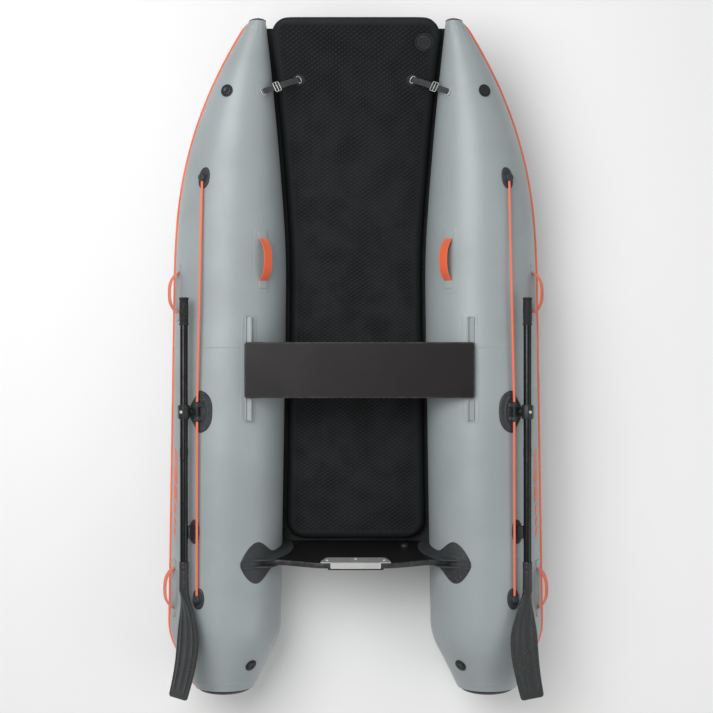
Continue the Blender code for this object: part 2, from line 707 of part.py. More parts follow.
def build_oarlock_base(label, side):
    place = lock_place(side)
    rings = []
    for share in (-1, -0.93, -0.75, -0.5, -0.25, 0, 0.25, 0.5, 0.75, 0.93, 1):
        y = LOCK_Y + share * LOCK_BASE_LENGTH / 2
        inboard = LOCK_BASE_SPAN / 2 * math.sqrt(max(0.05, 1 - abs(share) ** 2.6))
        outboard = LOCK_BASE_SPAN / 2 * max(0.16, 1 - abs(share) ** 1.3)
        turns = spread(LOCK_ANGLE - inboard, LOCK_ANGLE + outboard, 9)
        rings.append([on_tube(side, y, turn, LOCK_BASE_THICKNESS) for turn in turns]
                     + [on_tube(side, y, turn, GAP) for turn in reversed(turns)])
    base = skin(f"{label}_oarlock_base", rings, "black_rubber", 30)
    foot = 0.0025
    outline = ([(LUG_FOOT, foot)] + arc((0, HINGE_HEIGHT), LUG_RADIUS, 10, 170, 9)
               + [(-LUG_FOOT, foot)])
    for end, low in (("front", LUG_INNER), ("rear", -LUG_INNER - LUG_THICKNESS)):
        lug = prism(f"{label}_{end}_lug", outline, low, low + LUG_THICKNESS, "black_rubber",
                    place)
        combine(base, lug, "UNION")
    pin = rod(f"{label}_hinge_pin", (0, -LUG_INNER - 0.004, HINGE_HEIGHT),
              (0, LUG_INNER + 0.004, HINGE_HEIGHT), HINGE_PIN_RADIUS, "black_rubber", 12,
              place=place)
    combine(base, pin, "UNION")


def build_oarlock_arm(label, side):
    place = lock_place(side)
    reach = LUG_INNER - PIN_CLEARANCE
    arm = rod(f"{label}_oarlock_arm", (0, -reach, HINGE_HEIGHT), (0, reach, HINGE_HEIGHT),
              SPOOL_RADIUS, "black_plastic", 16, place=place)
    low = ARM_UNDERSIDE
    bar = prism(f"{label}_arm_bar", [(0.002, low), (ARM_REACH, low),
                                     (ARM_REACH, low + ARM_THICKNESS),
                                     (0.002, low + ARM_THICKNESS)],
                -ARM_HALF_WIDTH, ARM_HALF_WIDTH, "black_plastic", place)
    boss = rod(f"{label}_arm_boss", (ARM_REACH, 0, low - 0.0005), (ARM_REACH, 0, BOSS_TOP),
               BOSS_RADIUS, "black_plastic", 20, place=place)
    bore = rod(f"{label}_arm_bore", (0, -0.03, HINGE_HEIGHT), (0, 0.03, HINGE_HEIGHT),
               HINGE_PIN_RADIUS + PIN_CLEARANCE, "black_plastic", 12, place=place)
    socket = rod(f"{label}_arm_socket", (ARM_REACH, 0, low + 0.004),
                 (ARM_REACH, 0, BOSS_TOP + 0.01), SWIVEL_RADIUS + PIN_CLEARANCE,
                 "black_plastic", 14, place=place)
    combine(arm, bar, "UNION")
    combine(arm, boss, "UNION")
    combine(arm, bore, "DIFFERENCE")
    combine(arm, socket, "DIFFERENCE")
    pivot = place @ Vector((0, 0, HINGE_HEIGHT))
    for piece in (arm, bar, boss, bore, socket):
        hang_on(piece, pivot)


def shaft_point(side, y):
    """Point on the oar's axis at a place along the boat."""
    spot = lock_place(side) @ Vector((ARM_REACH, 0, SHAFT_HEIGHT))
    return Vector((spot.x, y, spot.z))


def build_collar(label, side):
    place = lock_place(side)
    half = COLLAR_LENGTH / 2
    middle = (ARM_REACH, 0, SHAFT_HEIGHT)
    collar = rod(f"{label}_oar_collar", (middle[0], -half, middle[2]),
                 (middle[0], half, middle[2]), COLLAR_RADIUS, "black_plastic", 20, place=place)
    post_low = BOSS_TOP + PIN_CLEARANCE
    post = rod(f"{label}_collar_post", (ARM_REACH, 0, post_low),
               (ARM_REACH, 0, SHAFT_HEIGHT - SHAFT_RADIUS - 0.002), 0.012, "black_plastic", 16,
               place=place)
    pin = rod(f"{label}_collar_pin", (ARM_REACH, 0, ARM_UNDERSIDE + 0.006),
              (ARM_REACH, 0, post_low + 0.002), SWIVEL_RADIUS, "black_plastic", 14, place=place)
    bore = rod(f"{label}_collar_bore", (middle[0], -0.04, middle[2]),
               (middle[0], 0.04, middle[2]), SHAFT_RADIUS + GAP, "black_plastic", 20,
               place=place)
    combine(collar, post, "UNION")
    combine(collar, pin, "UNION")
    combine(collar, bore, "DIFFERENCE")
    return [collar, post, pin, bore]


def turned(name, side, profile, kind, segments=20):
    """Round body about the oar's axis through (y, radius) points."""
    rings = []
    for y, radius in profile:
        middle = shaft_point(side, y)
        rings.append([middle + Vector((radius * math.sin(2 * math.pi * i / segments), 0,
                                       radius * math.cos(2 * math.pi * i / segments)))
                      for i in range(segments)])
    return skin(name, rings, kind)


def blade_half_width(share):
    """From the round neck out to the full width, then in to the tip."""
    swell = math.sin(math.pi / 2 * min(1.0, share / 0.5)) ** 1.5
    full = BLADE_HALF_WIDTH - (BLADE_HALF_WIDTH - BLADE_TIP_HALF_WIDTH) * ramp(share, 0.6, 1)
    return SOCKET_RADIUS + (full - SOCKET_RADIUS) * swell


def build_blade(label, side):
    turn = math.radians(BLADE_TILT[label])
    flat = Vector((side * math.cos(turn), 0, -math.sin(turn)))
    face = Vector((side * math.sin(turn), 0, math.cos(turn)))
    segments = 16
    rings = []
    for y in (SOCKET_FRONT_Y, SOCKET_FRONT_Y - 0.004, BLADE_NECK_Y + 0.02):
        middle = shaft_point(side, y)
        radius = SOCKET_RADIUS - (0.0015 if y == SOCKET_FRONT_Y else 0)
        rings.append([middle + flat * radius * math.cos(2 * math.pi * i / segments)
                      + face * radius * math.sin(2 * math.pi * i / segments)
                      for i in range(segments)])
    for share in [i / 12 for i in range(13)]:
        y = BLADE_NECK_Y + (BLADE_TIP_Y - BLADE_NECK_Y) * share
        thick = BLADE_THICKNESS / 2 + (SOCKET_RADIUS - BLADE_THICKNESS / 2) * (1 - ramp(share, 0, 0.35)) ** 2
        bend = BLADE_TIP_RISE * share ** 2 - BLADE_BELLY * math.sin(math.pi * share)
        middle = shaft_point(side, y) + face * bend
        half = blade_half_width(share)
        rings.append([middle + flat * half * math.cos(2 * math.pi * i / segments)
                      + face * thick * math.sin(2 * math.pi * i / segments)
                      for i in range(segments)])
    return skin(f"{label}_oar_blade", rings, "black_plastic")


def build_oar(label, side):
    grip_back = GRIP_FRONT_Y - GRIP_LENGTH
    flange = 0.006
    pieces = build_collar(label, side)
    pieces.append(turned(f"{label}_oar_shaft", side,
                         [(grip_back - GAP, SHAFT_RADIUS), (SOCKET_FRONT_Y + GAP, SHAFT_RADIUS)],
                         "black_alloy"))
    pieces.append(turned(f"{label}_oar_grip", side,
                         [(GRIP_FRONT_Y, GRIP_RADIUS - 0.006), (GRIP_FRONT_Y - 0.003, GRIP_RADIUS),
                          (GRIP_FRONT_Y - flange, GRIP_RADIUS),
                          (GRIP_FRONT_Y - flange - 0.002, GRIP_RADIUS - 0.002),
                          (grip_back + flange + 0.002, GRIP_RADIUS - 0.002),
                          (grip_back + flange, GRIP_RADIUS), (grip_back, GRIP_RADIUS)],
                         "black_rubber"))
    pieces.append(build_blade(label, side))
    for piece in pieces:
        hang_on(piece, shaft_point(side, LOCK_Y))


def build_oar_clip(label, side):
    """Saddle that carries the stowed oar, open upwards and outboard."""
    axis = shaft_point(side, CLIP_Y)
    centre = Vector((side * tube_x(CLIP_Y), CLIP_Y, tube_z(CLIP_Y)))
    up = (axis - centre)
    rise = up.length
    up.normalize()
    out = Vector((side * up.z, 0, -side * up.x))
    degrees = math.degrees(math.atan2(side * up.x, up.z))
    place = Matrix((out, Vector((0, 1, 0)), up)).transposed().to_4x4()
    place.translation = axis
    near = SHAFT_RADIUS + 3 * GAP
    surface = tube_radius(CLIP_Y) - rise
    outline = (arc((0, 0), near, -90, -90 - CLIP_WRAP, 8)
               + arc((0, 0), near + CLIP_WALL, -90 - CLIP_WRAP, -110, 6)
               + [(-0.013, surface + 0.002), (0.008, surface + 0.002), (0.006, -near - 0.006),
                  (0.003, -near)])
    rings = []
    for share in (-1, -0.8, -0.4, 0, 0.4, 0.8, 1):
        y = CLIP_Y + share * 0.046
        half = 6.0 * math.sqrt(max(0.1, 1 - share ** 2))
        turns = spread(degrees - 3 - half, degrees - 3 + half, 7)
        rings.append([on_tube(side, y, turn, 0.004) for turn in turns]
                     + [on_tube(side, y, turn, GAP) for turn in reversed(turns)])
    pad = skin(f"{label}_oar_clip", rings, "black_rubber", 30)
    saddle = prism(f"{label}_clip_saddle", outline, -CLIP_LENGTH / 2, CLIP_LENGTH / 2,
                   "black_rubber", place)
    combine(pad, saddle, "UNION")


def main():
    for old in list(bpy.data.objects):
        bpy.data.objects.remove(old, do_unlink=True)
    build_tubes()
    build_strakes()
    build_bottom_sheet()
    build_deck_mat()
    build_transom()
    build_transom_holders()
    build_seat()
    build_handles()
    build_bow_straps()
    build_rope_eyes()
    build_grab_lines()
    build_valves()
    for label, side in SIDES.items():
        build_oarlock_base(label, side)
        build_oarlock_arm(label, side)
        build_oar(label, side)
        build_oar_clip(label, side)


main()
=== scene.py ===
"""The looks of a small inflatable catamaran: every fitting as a worked surface with its own finish.

The frame (hull, seat, oarlock arms and oars) is loaded first and is never moved.
Lengths are metres: +X starboard, +Y bow, +Z up, the floor at z = 0.
"""

import json
import math

import bmesh
import bpy
import numpy as np
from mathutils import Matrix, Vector

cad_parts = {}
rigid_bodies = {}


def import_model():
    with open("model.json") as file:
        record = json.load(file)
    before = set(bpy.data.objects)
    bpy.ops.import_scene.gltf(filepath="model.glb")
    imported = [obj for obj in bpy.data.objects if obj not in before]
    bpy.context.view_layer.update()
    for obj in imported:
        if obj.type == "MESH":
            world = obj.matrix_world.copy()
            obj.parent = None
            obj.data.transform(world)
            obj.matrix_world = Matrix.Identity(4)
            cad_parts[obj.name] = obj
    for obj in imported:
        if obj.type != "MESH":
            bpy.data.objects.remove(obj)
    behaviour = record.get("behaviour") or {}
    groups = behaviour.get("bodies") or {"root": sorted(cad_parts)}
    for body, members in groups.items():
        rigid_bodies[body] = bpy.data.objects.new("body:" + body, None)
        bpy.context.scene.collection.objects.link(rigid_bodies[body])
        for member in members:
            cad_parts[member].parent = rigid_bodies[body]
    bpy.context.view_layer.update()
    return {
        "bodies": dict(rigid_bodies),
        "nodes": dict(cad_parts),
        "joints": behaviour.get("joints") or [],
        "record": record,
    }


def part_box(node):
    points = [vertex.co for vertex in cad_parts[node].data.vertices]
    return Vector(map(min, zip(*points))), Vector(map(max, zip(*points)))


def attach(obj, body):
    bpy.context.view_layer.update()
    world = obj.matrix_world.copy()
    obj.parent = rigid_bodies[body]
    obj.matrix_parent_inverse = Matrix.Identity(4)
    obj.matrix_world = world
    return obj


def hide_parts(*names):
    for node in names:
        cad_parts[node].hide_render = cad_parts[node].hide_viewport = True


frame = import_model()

bl_info = {
    "name": "Inflatable Catamaran Finish",
    "version": (1, 0, 0),
    "blender": (4, 5, 0),
    "location": "View3D > Sidebar > Catamaran",
    "description": "Builds the tubes, deck, transom, fittings and oars of an inflatable catamaran",
    "category": "Object",
}

SIDES = {"left": -1, "right": 1}
TUBE_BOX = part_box("right_tube")
TUBE_RADIUS = 0.215
STERN_Y = TUBE_BOX[0][1]
BOW_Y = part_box("right_bow_cap")[1][1]
CAP_Y = BOW_Y - 0.010
TUBE_SPACING = 0.982
TOE_IN = 0.0155
TAPER_START_Y = 0.235
TAPER_POWER = 2.3
TIP_RADIUS = 0.027
BOW_CURVE_Y = 0.500
BOW_CURVE_IN = 0.103
BOW_CURVE_POWER = 2.2
BOW_LIFT_Y = 0.200
BOW_LIFT = 0.185
BOW_LIFT_POWER = 1.7
CONE_LENGTH = 0.257
CONE_SLOPE = 0.492
CONE_BLEND = 0.100
SHEET_DEPTH = 0.558
SHEET_THICKNESS = 0.004
LOCK_Y = -0.193
LOCK_ANGLE = 26.0
HINGE_HEIGHT = 0.018
ARM_REACH = 0.038
SHAFT_HEIGHT = 0.050
TRANSOM_RAKE = math.radians(8.0)
TRANSOM_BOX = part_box("transom_board")
TRANSOM_TOP = TRANSOM_BOX[1][2]
TRANSOM_Y = -0.762
TRANSOM_THICKNESS = 0.020
TRANSOM_END_DROP = 0.052
SHAFT_RADIUS = 0.015
BLADE_TILT = {"left": 49.0, "right": 38.0}
VALVES = {"bow": (22.5, 1.0115), "stern": (-41.1, -1.163)}
HANDLES = {"inner": (-39.0, 0.381), "front": (65.0, 0.260), "rear": (65.0, -0.873)}
EYES = {"front": (29.6, 0.686), "rear": (24.0, -0.898)}
BOW_RING = (-44.0, 1.012)


# ------------------------------------------------------------------ hull lines
def ramp(y, start, end):
    """0 before start and 1 after end, straight between: clip((y - start) / (end - start), 0, 1)."""
    return np.clip((np.asarray(y, float) - start) / (end - start), 0.0, 1.0)


def smooth(value, start, end):
    """Cubic ease 3t^2 - 2t^3 of the ramp from start to end."""
    t = ramp(value, start, end)
    return t * t * (3 - 2 * t)


def bell(value, middle, width):
    """exp(-((value - middle) / width)^2): 1 at the middle, fading to either side."""
    return np.exp(-((value - middle) / width) ** 2)


def tube_radius(y):
    """R - (R - tip) t^2.3 towards the bow; towards the stern R less a parabola, then a straight cone."""
    y = np.asarray(y, float)
    bow = (TUBE_RADIUS - TIP_RADIUS) * ramp(y, TAPER_START_Y, BOW_Y) ** TAPER_POWER
    behind = np.maximum(0.0, STERN_Y + CONE_LENGTH - y)
    blend = CONE_SLOPE * behind ** 2 / (2 * CONE_BLEND)
    cone = CONE_SLOPE * (behind - CONE_BLEND / 2)
    return TUBE_RADIUS - bow - np.where(behind < CONE_BLEND, blend, cone)


def tube_x(y):
    """Distance of a tube's axis from the middle: straight with toe-in, then a t^2.2 curve inboard."""
    return (TUBE_SPACING / 2 - TOE_IN * np.asarray(y, float)
            - BOW_CURVE_IN * ramp(y, BOW_CURVE_Y, BOW_Y) ** BOW_CURVE_POWER)


def tube_z(y):
    """Height of a tube's axis: R, plus a t^1.7 sweep at the bow."""
    return TUBE_RADIUS + BOW_LIFT * ramp(y, BOW_LIFT_Y, BOW_Y) ** BOW_LIFT_POWER


def on_tube(side, y, degrees, height=0.0, across=0.0):
    """Points over a tube: centre + (r + height)(sin a, cos a) + across (cos a, -sin a), a from the top outboard."""
    y, degrees, height, across = np.broadcast_arrays(
        *(np.asarray(v, float) for v in (y, degrees, height, across)))
    turn = np.radians(degrees)
    reach = tube_radius(y) + height
    out = tube_x(y) + reach * np.sin(turn) + across * np.cos(turn)
    up = tube_z(y) + reach * np.cos(turn) - across * np.sin(turn)
    return np.stack([side * out, y, up], axis=-1)


def sheet_z(y):
    """Underside of the bottom sheet: axis height less a share of the radius that grows to 1 at the tip."""
    share = SHEET_DEPTH + (1 - SHEET_DEPTH) * ramp(y, BOW_LIFT_Y, BOW_Y) ** 2
    return tube_z(y) - share * tube_radius(y)


def transom_front(z):
    """Forward face of the raked board: Y + (top - z) tan(rake)."""
    return TRANSOM_Y + (TRANSOM_TOP - np.asarray(z, float)) * math.tan(TRANSOM_RAKE)


def lock_frame(side):
    """Columns out, Y and up off the tube, and the point on the tube under the oarlock."""
    turn = math.radians(LOCK_ANGLE)
    out = np.array([side * math.cos(turn), 0, -math.sin(turn)])
    up = np.array([side * math.sin(turn), 0, math.cos(turn)])
    return np.stack([out, [0, 1, 0], up], axis=1), on_tube(side, LOCK_Y, LOCK_ANGLE)


# ------------------------------------------------------------------ surfaces
def signed_volume(points, faces):
    """Sum of p0 . (p1 x p2) / 6 over the fan triangles: positive when faces point out."""
    a, b, c, d = (points[faces[:, k]] for k in range(4))
    first = np.einsum("ij,ij->i", a, np.cross(b, c)).sum()
    second = np.einsum("ij,ij->i", a, np.cross(c, d)).sum()
    return (first + second) / 6


def put_mesh(name, points, faces, uv=None, sharp=40.0, marks=None):
    """A mesh object at the origin, with values per point in marks; quads that repeat a corner are triangles."""
    mesh = bpy.data.meshes.new(name)
    lists = [list(dict.fromkeys(face)) for face in faces.tolist()]
    mesh.from_pydata(points.tolist(), [], lists)
    if uv is not None:
        layer = mesh.uv_layers.new(name="UVMap")
        corner = np.empty(len(mesh.loops), dtype=np.int32)
        mesh.loops.foreach_get("vertex_index", corner)
        layer.data.foreach_set("uv", uv[corner].astype(np.float32).ravel())
    for label, values in (marks or {}).items():
        mesh.attributes.new(label, "FLOAT", "POINT").data.foreach_set("value", values.astype(np.float32))
    mesh.shade_smooth()
    mesh.set_sharp_from_angle(angle=math.radians(sharp))
    made = bpy.data.objects.new(name, mesh)
    bpy.context.scene.collection.objects.link(made)
    return made


def loft(name, rings, uv=None, sharp=40.0, marks=None):
    """Closed surface over rings[i, j]: quads between rings that wrap in j, and a fan on each end's mean point."""
    marks = {label: np.broadcast_to(values, rings.shape[:2]) for label, values in (marks or {}).items()}
    count, around = rings.shape[:2]
    index = np.arange(count * around).reshape(count, around)
    ahead = np.roll(index, -1, axis=1)
    faces = np.stack([index[:-1], ahead[:-1], ahead[1:], index[1:]], axis=-1).reshape(-1, 4)
    points = rings.reshape(-1, 3)
    low, high = np.full(around, len(points)), np.full(around, len(points) + 1)
    points = np.concatenate([points, [rings[0].mean(0), rings[-1].mean(0)]])
    faces = np.concatenate([faces, np.stack([ahead[0], index[0], low, low], -1),
                            np.stack([index[-1], ahead[-1], high, high], -1)])
    if uv is not None:
        uv = uv.reshape(-1, 2)
        uv = np.concatenate([uv, [uv[0], uv[-1]]])
    if signed_volume(points, faces) < 0:
        faces = faces[:, [1, 0, 3, 2]]
        faces = np.where(faces[:, [0]] == faces[:, [1]], faces[:, [1, 2, 3, 0]], faces)
    marks = {label: np.concatenate([values.ravel(), [values[0].mean(), values[-1].mean()]])
             for label, values in marks.items()}
    return put_mesh(name, points, faces, uv, sharp, marks)


def ring_loft(name, rings):
    """Closed surface over rings[i, j] that wraps both ways, as a bent bar whose ends meet."""
    count, around = rings.shape[:2]
    index = np.arange(count * around).reshape(count, around)
    ahead, beyond = np.roll(index, -1, axis=1), np.roll(index, -1, axis=0)
    corner = np.roll(beyond, -1, axis=1)
    faces = np.stack([index, ahead, corner, beyond], axis=-1).reshape(-1, 4)
    points = rings.reshape(-1, 3)
    if signed_volume(points, faces) < 0:
        faces = faces[:, ::-1]
    return put_mesh(name, points, faces)


def circle(count):
    """Unit circle (count, 2): (cos t, sin t)."""
    t = np.linspace(0, 2 * np.pi, count, endpoint=False)
    return np.stack([np.cos(t), np.sin(t)], axis=-1)


def rounded_box_loop(half_wide, half_high, radius, per_corner=5):
    """Rectangle with round corners: each corner centre plus radius (cos t, sin t)."""
    t = np.linspace(0, np.pi / 2, per_corner)
    quarter = np.stack([np.cos(t), np.sin(t)], axis=-1) * radius
    centre = np.array([half_wide - radius, half_high - radius])
    parts = []
    for turns, signs in ((0, (1, 1)), (1, (-1, 1)), (2, (-1, -1)), (3, (1, -1))):
        angle = turns * np.pi / 2
        spin = np.array([[np.cos(angle), -np.sin(angle)], [np.sin(angle), np.cos(angle)]])
        parts.append(quarter @ spin.T + centre * signs)
    return np.concatenate(parts)


def superellipse(count, power):
    """(|cos|^(2/p) sign, |sin|^(2/p) sign): a circle at p = 2, squarer above."""
    unit = circle(count)
    return np.sign(unit) * np.abs(unit) ** (2 / power)


def turned(name, profile, origin, axes, segments=48, sharp=35.0, wobble=None):
    """Body turned about axes[:, 2]: origin + r (cos t, sin t) + a axis, profile rows (a, r)."""
    profile = np.asarray(profile, float)
    unit = circle(segments)
    radius = profile[:, 1, None] * np.ones(segments)
    if wobble is not None:
        radius = radius * wobble(profile[:, 0, None], np.linspace(0, 2 * np.pi, segments, endpoint=False))
    local = np.stack([radius * unit[:, 0], radius * unit[:, 1],
                      profile[:, 0, None] * np.ones(segments)], axis=-1)
    return loft(name, local @ np.asarray(axes).T + np.asarray(origin), sharp=sharp)


def knurl(depth, teeth, low, high):
    """A wobble for turned: 1 + depth sign(sin(teeth t)) between two levels."""
    return lambda level, t: 1 + depth * np.sign(np.sin(teeth * t)) * ((level > low) & (level < high))


def pad_on_tube(name, side, middle, degrees, outline, rows, sharp=40.0, relief=None):
    """Moulded pad on a tube: polar outline (along, across) times rho, with rows (rho, height) from top to foot."""
    rho = np.array([row[0] for row in rows])[:, None]
    high = np.array([row[1] for row in rows])[:, None] * np.ones(len(outline))
    along = rho * outline[:, 0]
    across = rho * outline[:, 1]
    if relief is not None:
        high = high + relief(along, across) * (high > 0.0006)
    turn = degrees + np.degrees(across / tube_radius(middle))
    return loft(name, on_tube(side, middle + along, turn, high), sharp=sharp)


def pad_rows(thick, edge=0.0015, steps=4, crown=0.0, rings=10):
    """Rows for a pad: a crowned top, a rounded edge and a flat foot that meets the tube."""
    top = [(rho, thick + crown * (1 - rho ** 2)) for rho in np.linspace(0.02, 0.93, rings)]
    turn = np.linspace(0, np.pi / 2, steps)[1:]
    rim = [(0.93 + 0.07 * math.sin(t), edge + (thick - edge) * math.cos(t)) for t in turn]
    return top + rim + [(1.0, 0.0004), (0.5, 0.0004), (0.02, 0.0004)]


def strap(name, path, across, width, thick):
    """Webbing: a flat superellipse section carried along path, with UV in metres along and across."""
    path, across = np.asarray(path, float), np.asarray(across, float)
    tangent = np.gradient(path, axis=0)
    tangent /= np.linalg.norm(tangent, axis=1, keepdims=True)
    wide = across - tangent * np.sum(across * tangent, axis=1, keepdims=True)
    wide /= np.linalg.norm(wide, axis=1, keepdims=True)
    face = np.cross(tangent, wide)
    section = superellipse(28, 6.0)
    rings = (path[:, None] + wide[:, None] * (section[:, 0, None] * width / 2)
             + face[:, None] * (section[:, 1, None] * thick / 2))
    length = np.concatenate([[0], np.cumsum(np.linalg.norm(np.diff(path, axis=0), axis=1))])
    uv = np.stack([np.broadcast_to(length[:, None], rings.shape[:2]),
                   np.broadcast_to(section[:, 0] * width / 2, rings.shape[:2])], axis=-1)
    return loft(name, rings, uv, sharp=60.0)


def bent_ring(name, path, radius, segments):
    """Round bar along a closed flat path: path + radius (cos t side + sin t up), up across the path's plane."""
    tangent = np.roll(path, -1, axis=0) - np.roll(path, 1, axis=0)
    tangent /= np.linalg.norm(tangent, axis=1, keepdims=True)
    spread = path - path.mean(0)
    normal = np.linalg.svd(spread, full_matrices=False)[2][2]
    wide = np.cross(tangent, normal)
    wide /= np.linalg.norm(wide, axis=1, keepdims=True)
    up = np.cross(wide, tangent)
    unit = circle(segments)
    rings = (path[:, None] + wide[:, None] * (unit[:, 0, None] * radius)
             + up[:, None] * (unit[:, 1, None] * radius))
    return ring_loft(name, rings)


def join_pieces(name, parts):
    """One mesh object of several closed bodies."""
    bm = bmesh.new()
    for part in parts:
        bm.from_mesh(part.data)
    mesh = parts[0].data.copy()
    bm.to_mesh(mesh)
    bm.free()
    mesh.name = name
    for part in parts:
        bpy.data.objects.remove(part, do_unlink=True)
    made = bpy.data.objects.new(name, mesh)
    bpy.context.scene.collection.objects.link(made)
    return made


# ------------------------------------------------------------------ finishes
def new_group(name, inputs, outputs):
    """An empty shader group with named sockets: inputs (name, kind, default), outputs (name, kind)."""
    group = bpy.data.node_groups.new(name, "ShaderNodeTree")
    for label, kind, default in inputs:
        socket = group.interface.new_socket(name=label, in_out="INPUT", socket_type=kind)
        socket.default_value = default
    for label, kind in outputs:
        group.interface.new_socket(name=label, in_out="OUTPUT", socket_type=kind)
    return group, group.nodes.new("NodeGroupInput"), group.nodes.new("NodeGroupOutput")


def object_place(tree):
    """The position on the object."""
    return tree.nodes.new("ShaderNodeTexCoord").outputs["Object"]


def mark_on(tree, name):
    """A value that the surface carries at every point."""
    node = tree.nodes.new("ShaderNodeAttribute")
    node.attribute_name = name
    return node.outputs["Fac"]


def math_node(tree, operation, first, second=None, clamp=False):
    """A Math node whose operands are sockets or numbers."""
    node = tree.nodes.new("ShaderNodeMath")
    node.operation = operation
    node.use_clamp = clamp
    for slot, value in zip(node.inputs, (first, second)):
        if isinstance(value, (int, float)):
            slot.default_value = value
        elif value is not None:
            tree.links.new(value, slot)
    return node.outputs[0]


def mix_colours(tree, share, first, second):
    """A colour between two, each a socket or a fixed (r, g, b)."""
    node = tree.nodes.new("ShaderNodeMix")
    node.data_type = "RGBA"
    tree.links.new(share, node.inputs["Factor"])
    for key, value in (("A", first), ("B", second)):
        if isinstance(value, tuple):
            node.inputs[key].default_value = (*value, 1)
        else:
            tree.links.new(value, node.inputs[key])
    return node.outputs["Result"]


def scaled(colour, share):
    """The colour times a share."""
    return tuple(share * c for c in colour)


def map_range(tree, value, low, high, to_low, to_high, soft=True):
    """Value carried from one span to another, eased at both ends."""
    node = tree.nodes.new("ShaderNodeMapRange")
    node.interpolation_type = "SMOOTHSTEP" if soft else "LINEAR"
    tree.links.new(value, node.inputs[0])
    for slot, number in zip(list(node.inputs)[1:5], (low, high, to_low, to_high)):
        if isinstance(number, (int, float)):
            slot.default_value = number
        else:
            tree.links.new(number, slot)
    return node.outputs[0]


def noise(tree, place, scale, detail=3.0, roughness=0.55, stretch=None):
    """Noise on a position, with an optional stretch along each axis."""
    if stretch is not None:
        mapping = tree.nodes.new("ShaderNodeMapping")
        mapping.inputs["Scale"].default_value = stretch
        tree.links.new(place, mapping.inputs["Vector"])
        place = mapping.outputs[0]
    node = tree.nodes.new("ShaderNodeTexNoise")
    node.inputs["Detail"].default_value = detail
    node.inputs["Roughness"].default_value = roughness
    if isinstance(scale, (int, float)):
        node.inputs["Scale"].default_value = scale
    else:
        tree.links.new(scale, node.inputs["Scale"])
    tree.links.new(place, node.inputs["Vector"])
    return node.outputs["Fac"]


def build_tone_group():
    """Colour that drifts between two tones with slow blotches, then lightens with dust."""
    group, given, put = new_group(
        "tone_drift",
        [("Base", "NodeSocketColor", (0.5, 0.5, 0.5, 1)), ("Shade", "NodeSocketColor", (0.4, 0.4, 0.4, 1)),
         ("Dust", "NodeSocketColor", (0.6, 0.58, 0.54, 1)), ("Blotch Scale", "NodeSocketFloat", 6.0),
         ("Dust Amount", "NodeSocketFloat", 0.1), ("Rough Low", "NodeSocketFloat", 0.4),
         ("Rough High", "NodeSocketFloat", 0.6)],
        [("Color", "NodeSocketColor"), ("Roughness", "NodeSocketFloat"), ("Blotch", "NodeSocketFloat")])
    place = object_place(group)
    blotch = map_range(group, noise(group, place, given.outputs["Blotch Scale"], 4.0), 0.34, 0.68, 0.0, 1.0)
    speck = map_range(group, noise(group, place, 140.0, 4.0, 0.7), 0.50, 0.74, 0.0, 1.0)
    tone = mix_colours(group, blotch, given.outputs["Base"], given.outputs["Shade"])
    share = math_node(group, "MULTIPLY", math_node(group, "MULTIPLY", speck, blotch),
                      given.outputs["Dust Amount"], clamp=True)
    group.links.new(mix_colours(group, share, tone, given.outputs["Dust"]), put.inputs["Color"])
    rough = map_range(group, math_node(group, "ADD", math_node(group, "MULTIPLY", blotch, 0.7),
                                       math_node(group, "MULTIPLY", speck, 0.3)),
                      0.0, 1.0, given.outputs["Rough Low"], given.outputs["Rough High"], soft=False)
    group.links.new(rough, put.inputs["Roughness"])
    group.links.new(blotch, put.inputs["Blotch"])
    return group


def build_grain_group():
    """Fine surface grain: two noises, one coarse and one fine, as a height for a bump."""
    group, given, put = new_group(
        "fine_grain",
        [("Scale", "NodeSocketFloat", 900.0), ("Coarse Scale", "NodeSocketFloat", 60.0),
         ("Coarse Share", "NodeSocketFloat", 0.4)],
        [("Height", "NodeSocketFloat")])
    place = object_place(group)
    fine = noise(group, place, given.outputs["Scale"], 2.0)
    coarse = noise(group, place, given.outputs["Coarse Scale"], 4.0)
    height = math_node(group, "ADD", fine, math_node(group, "MULTIPLY", coarse, given.outputs["Coarse Share"]))
    group.links.new(height, put.inputs["Height"])
    return group


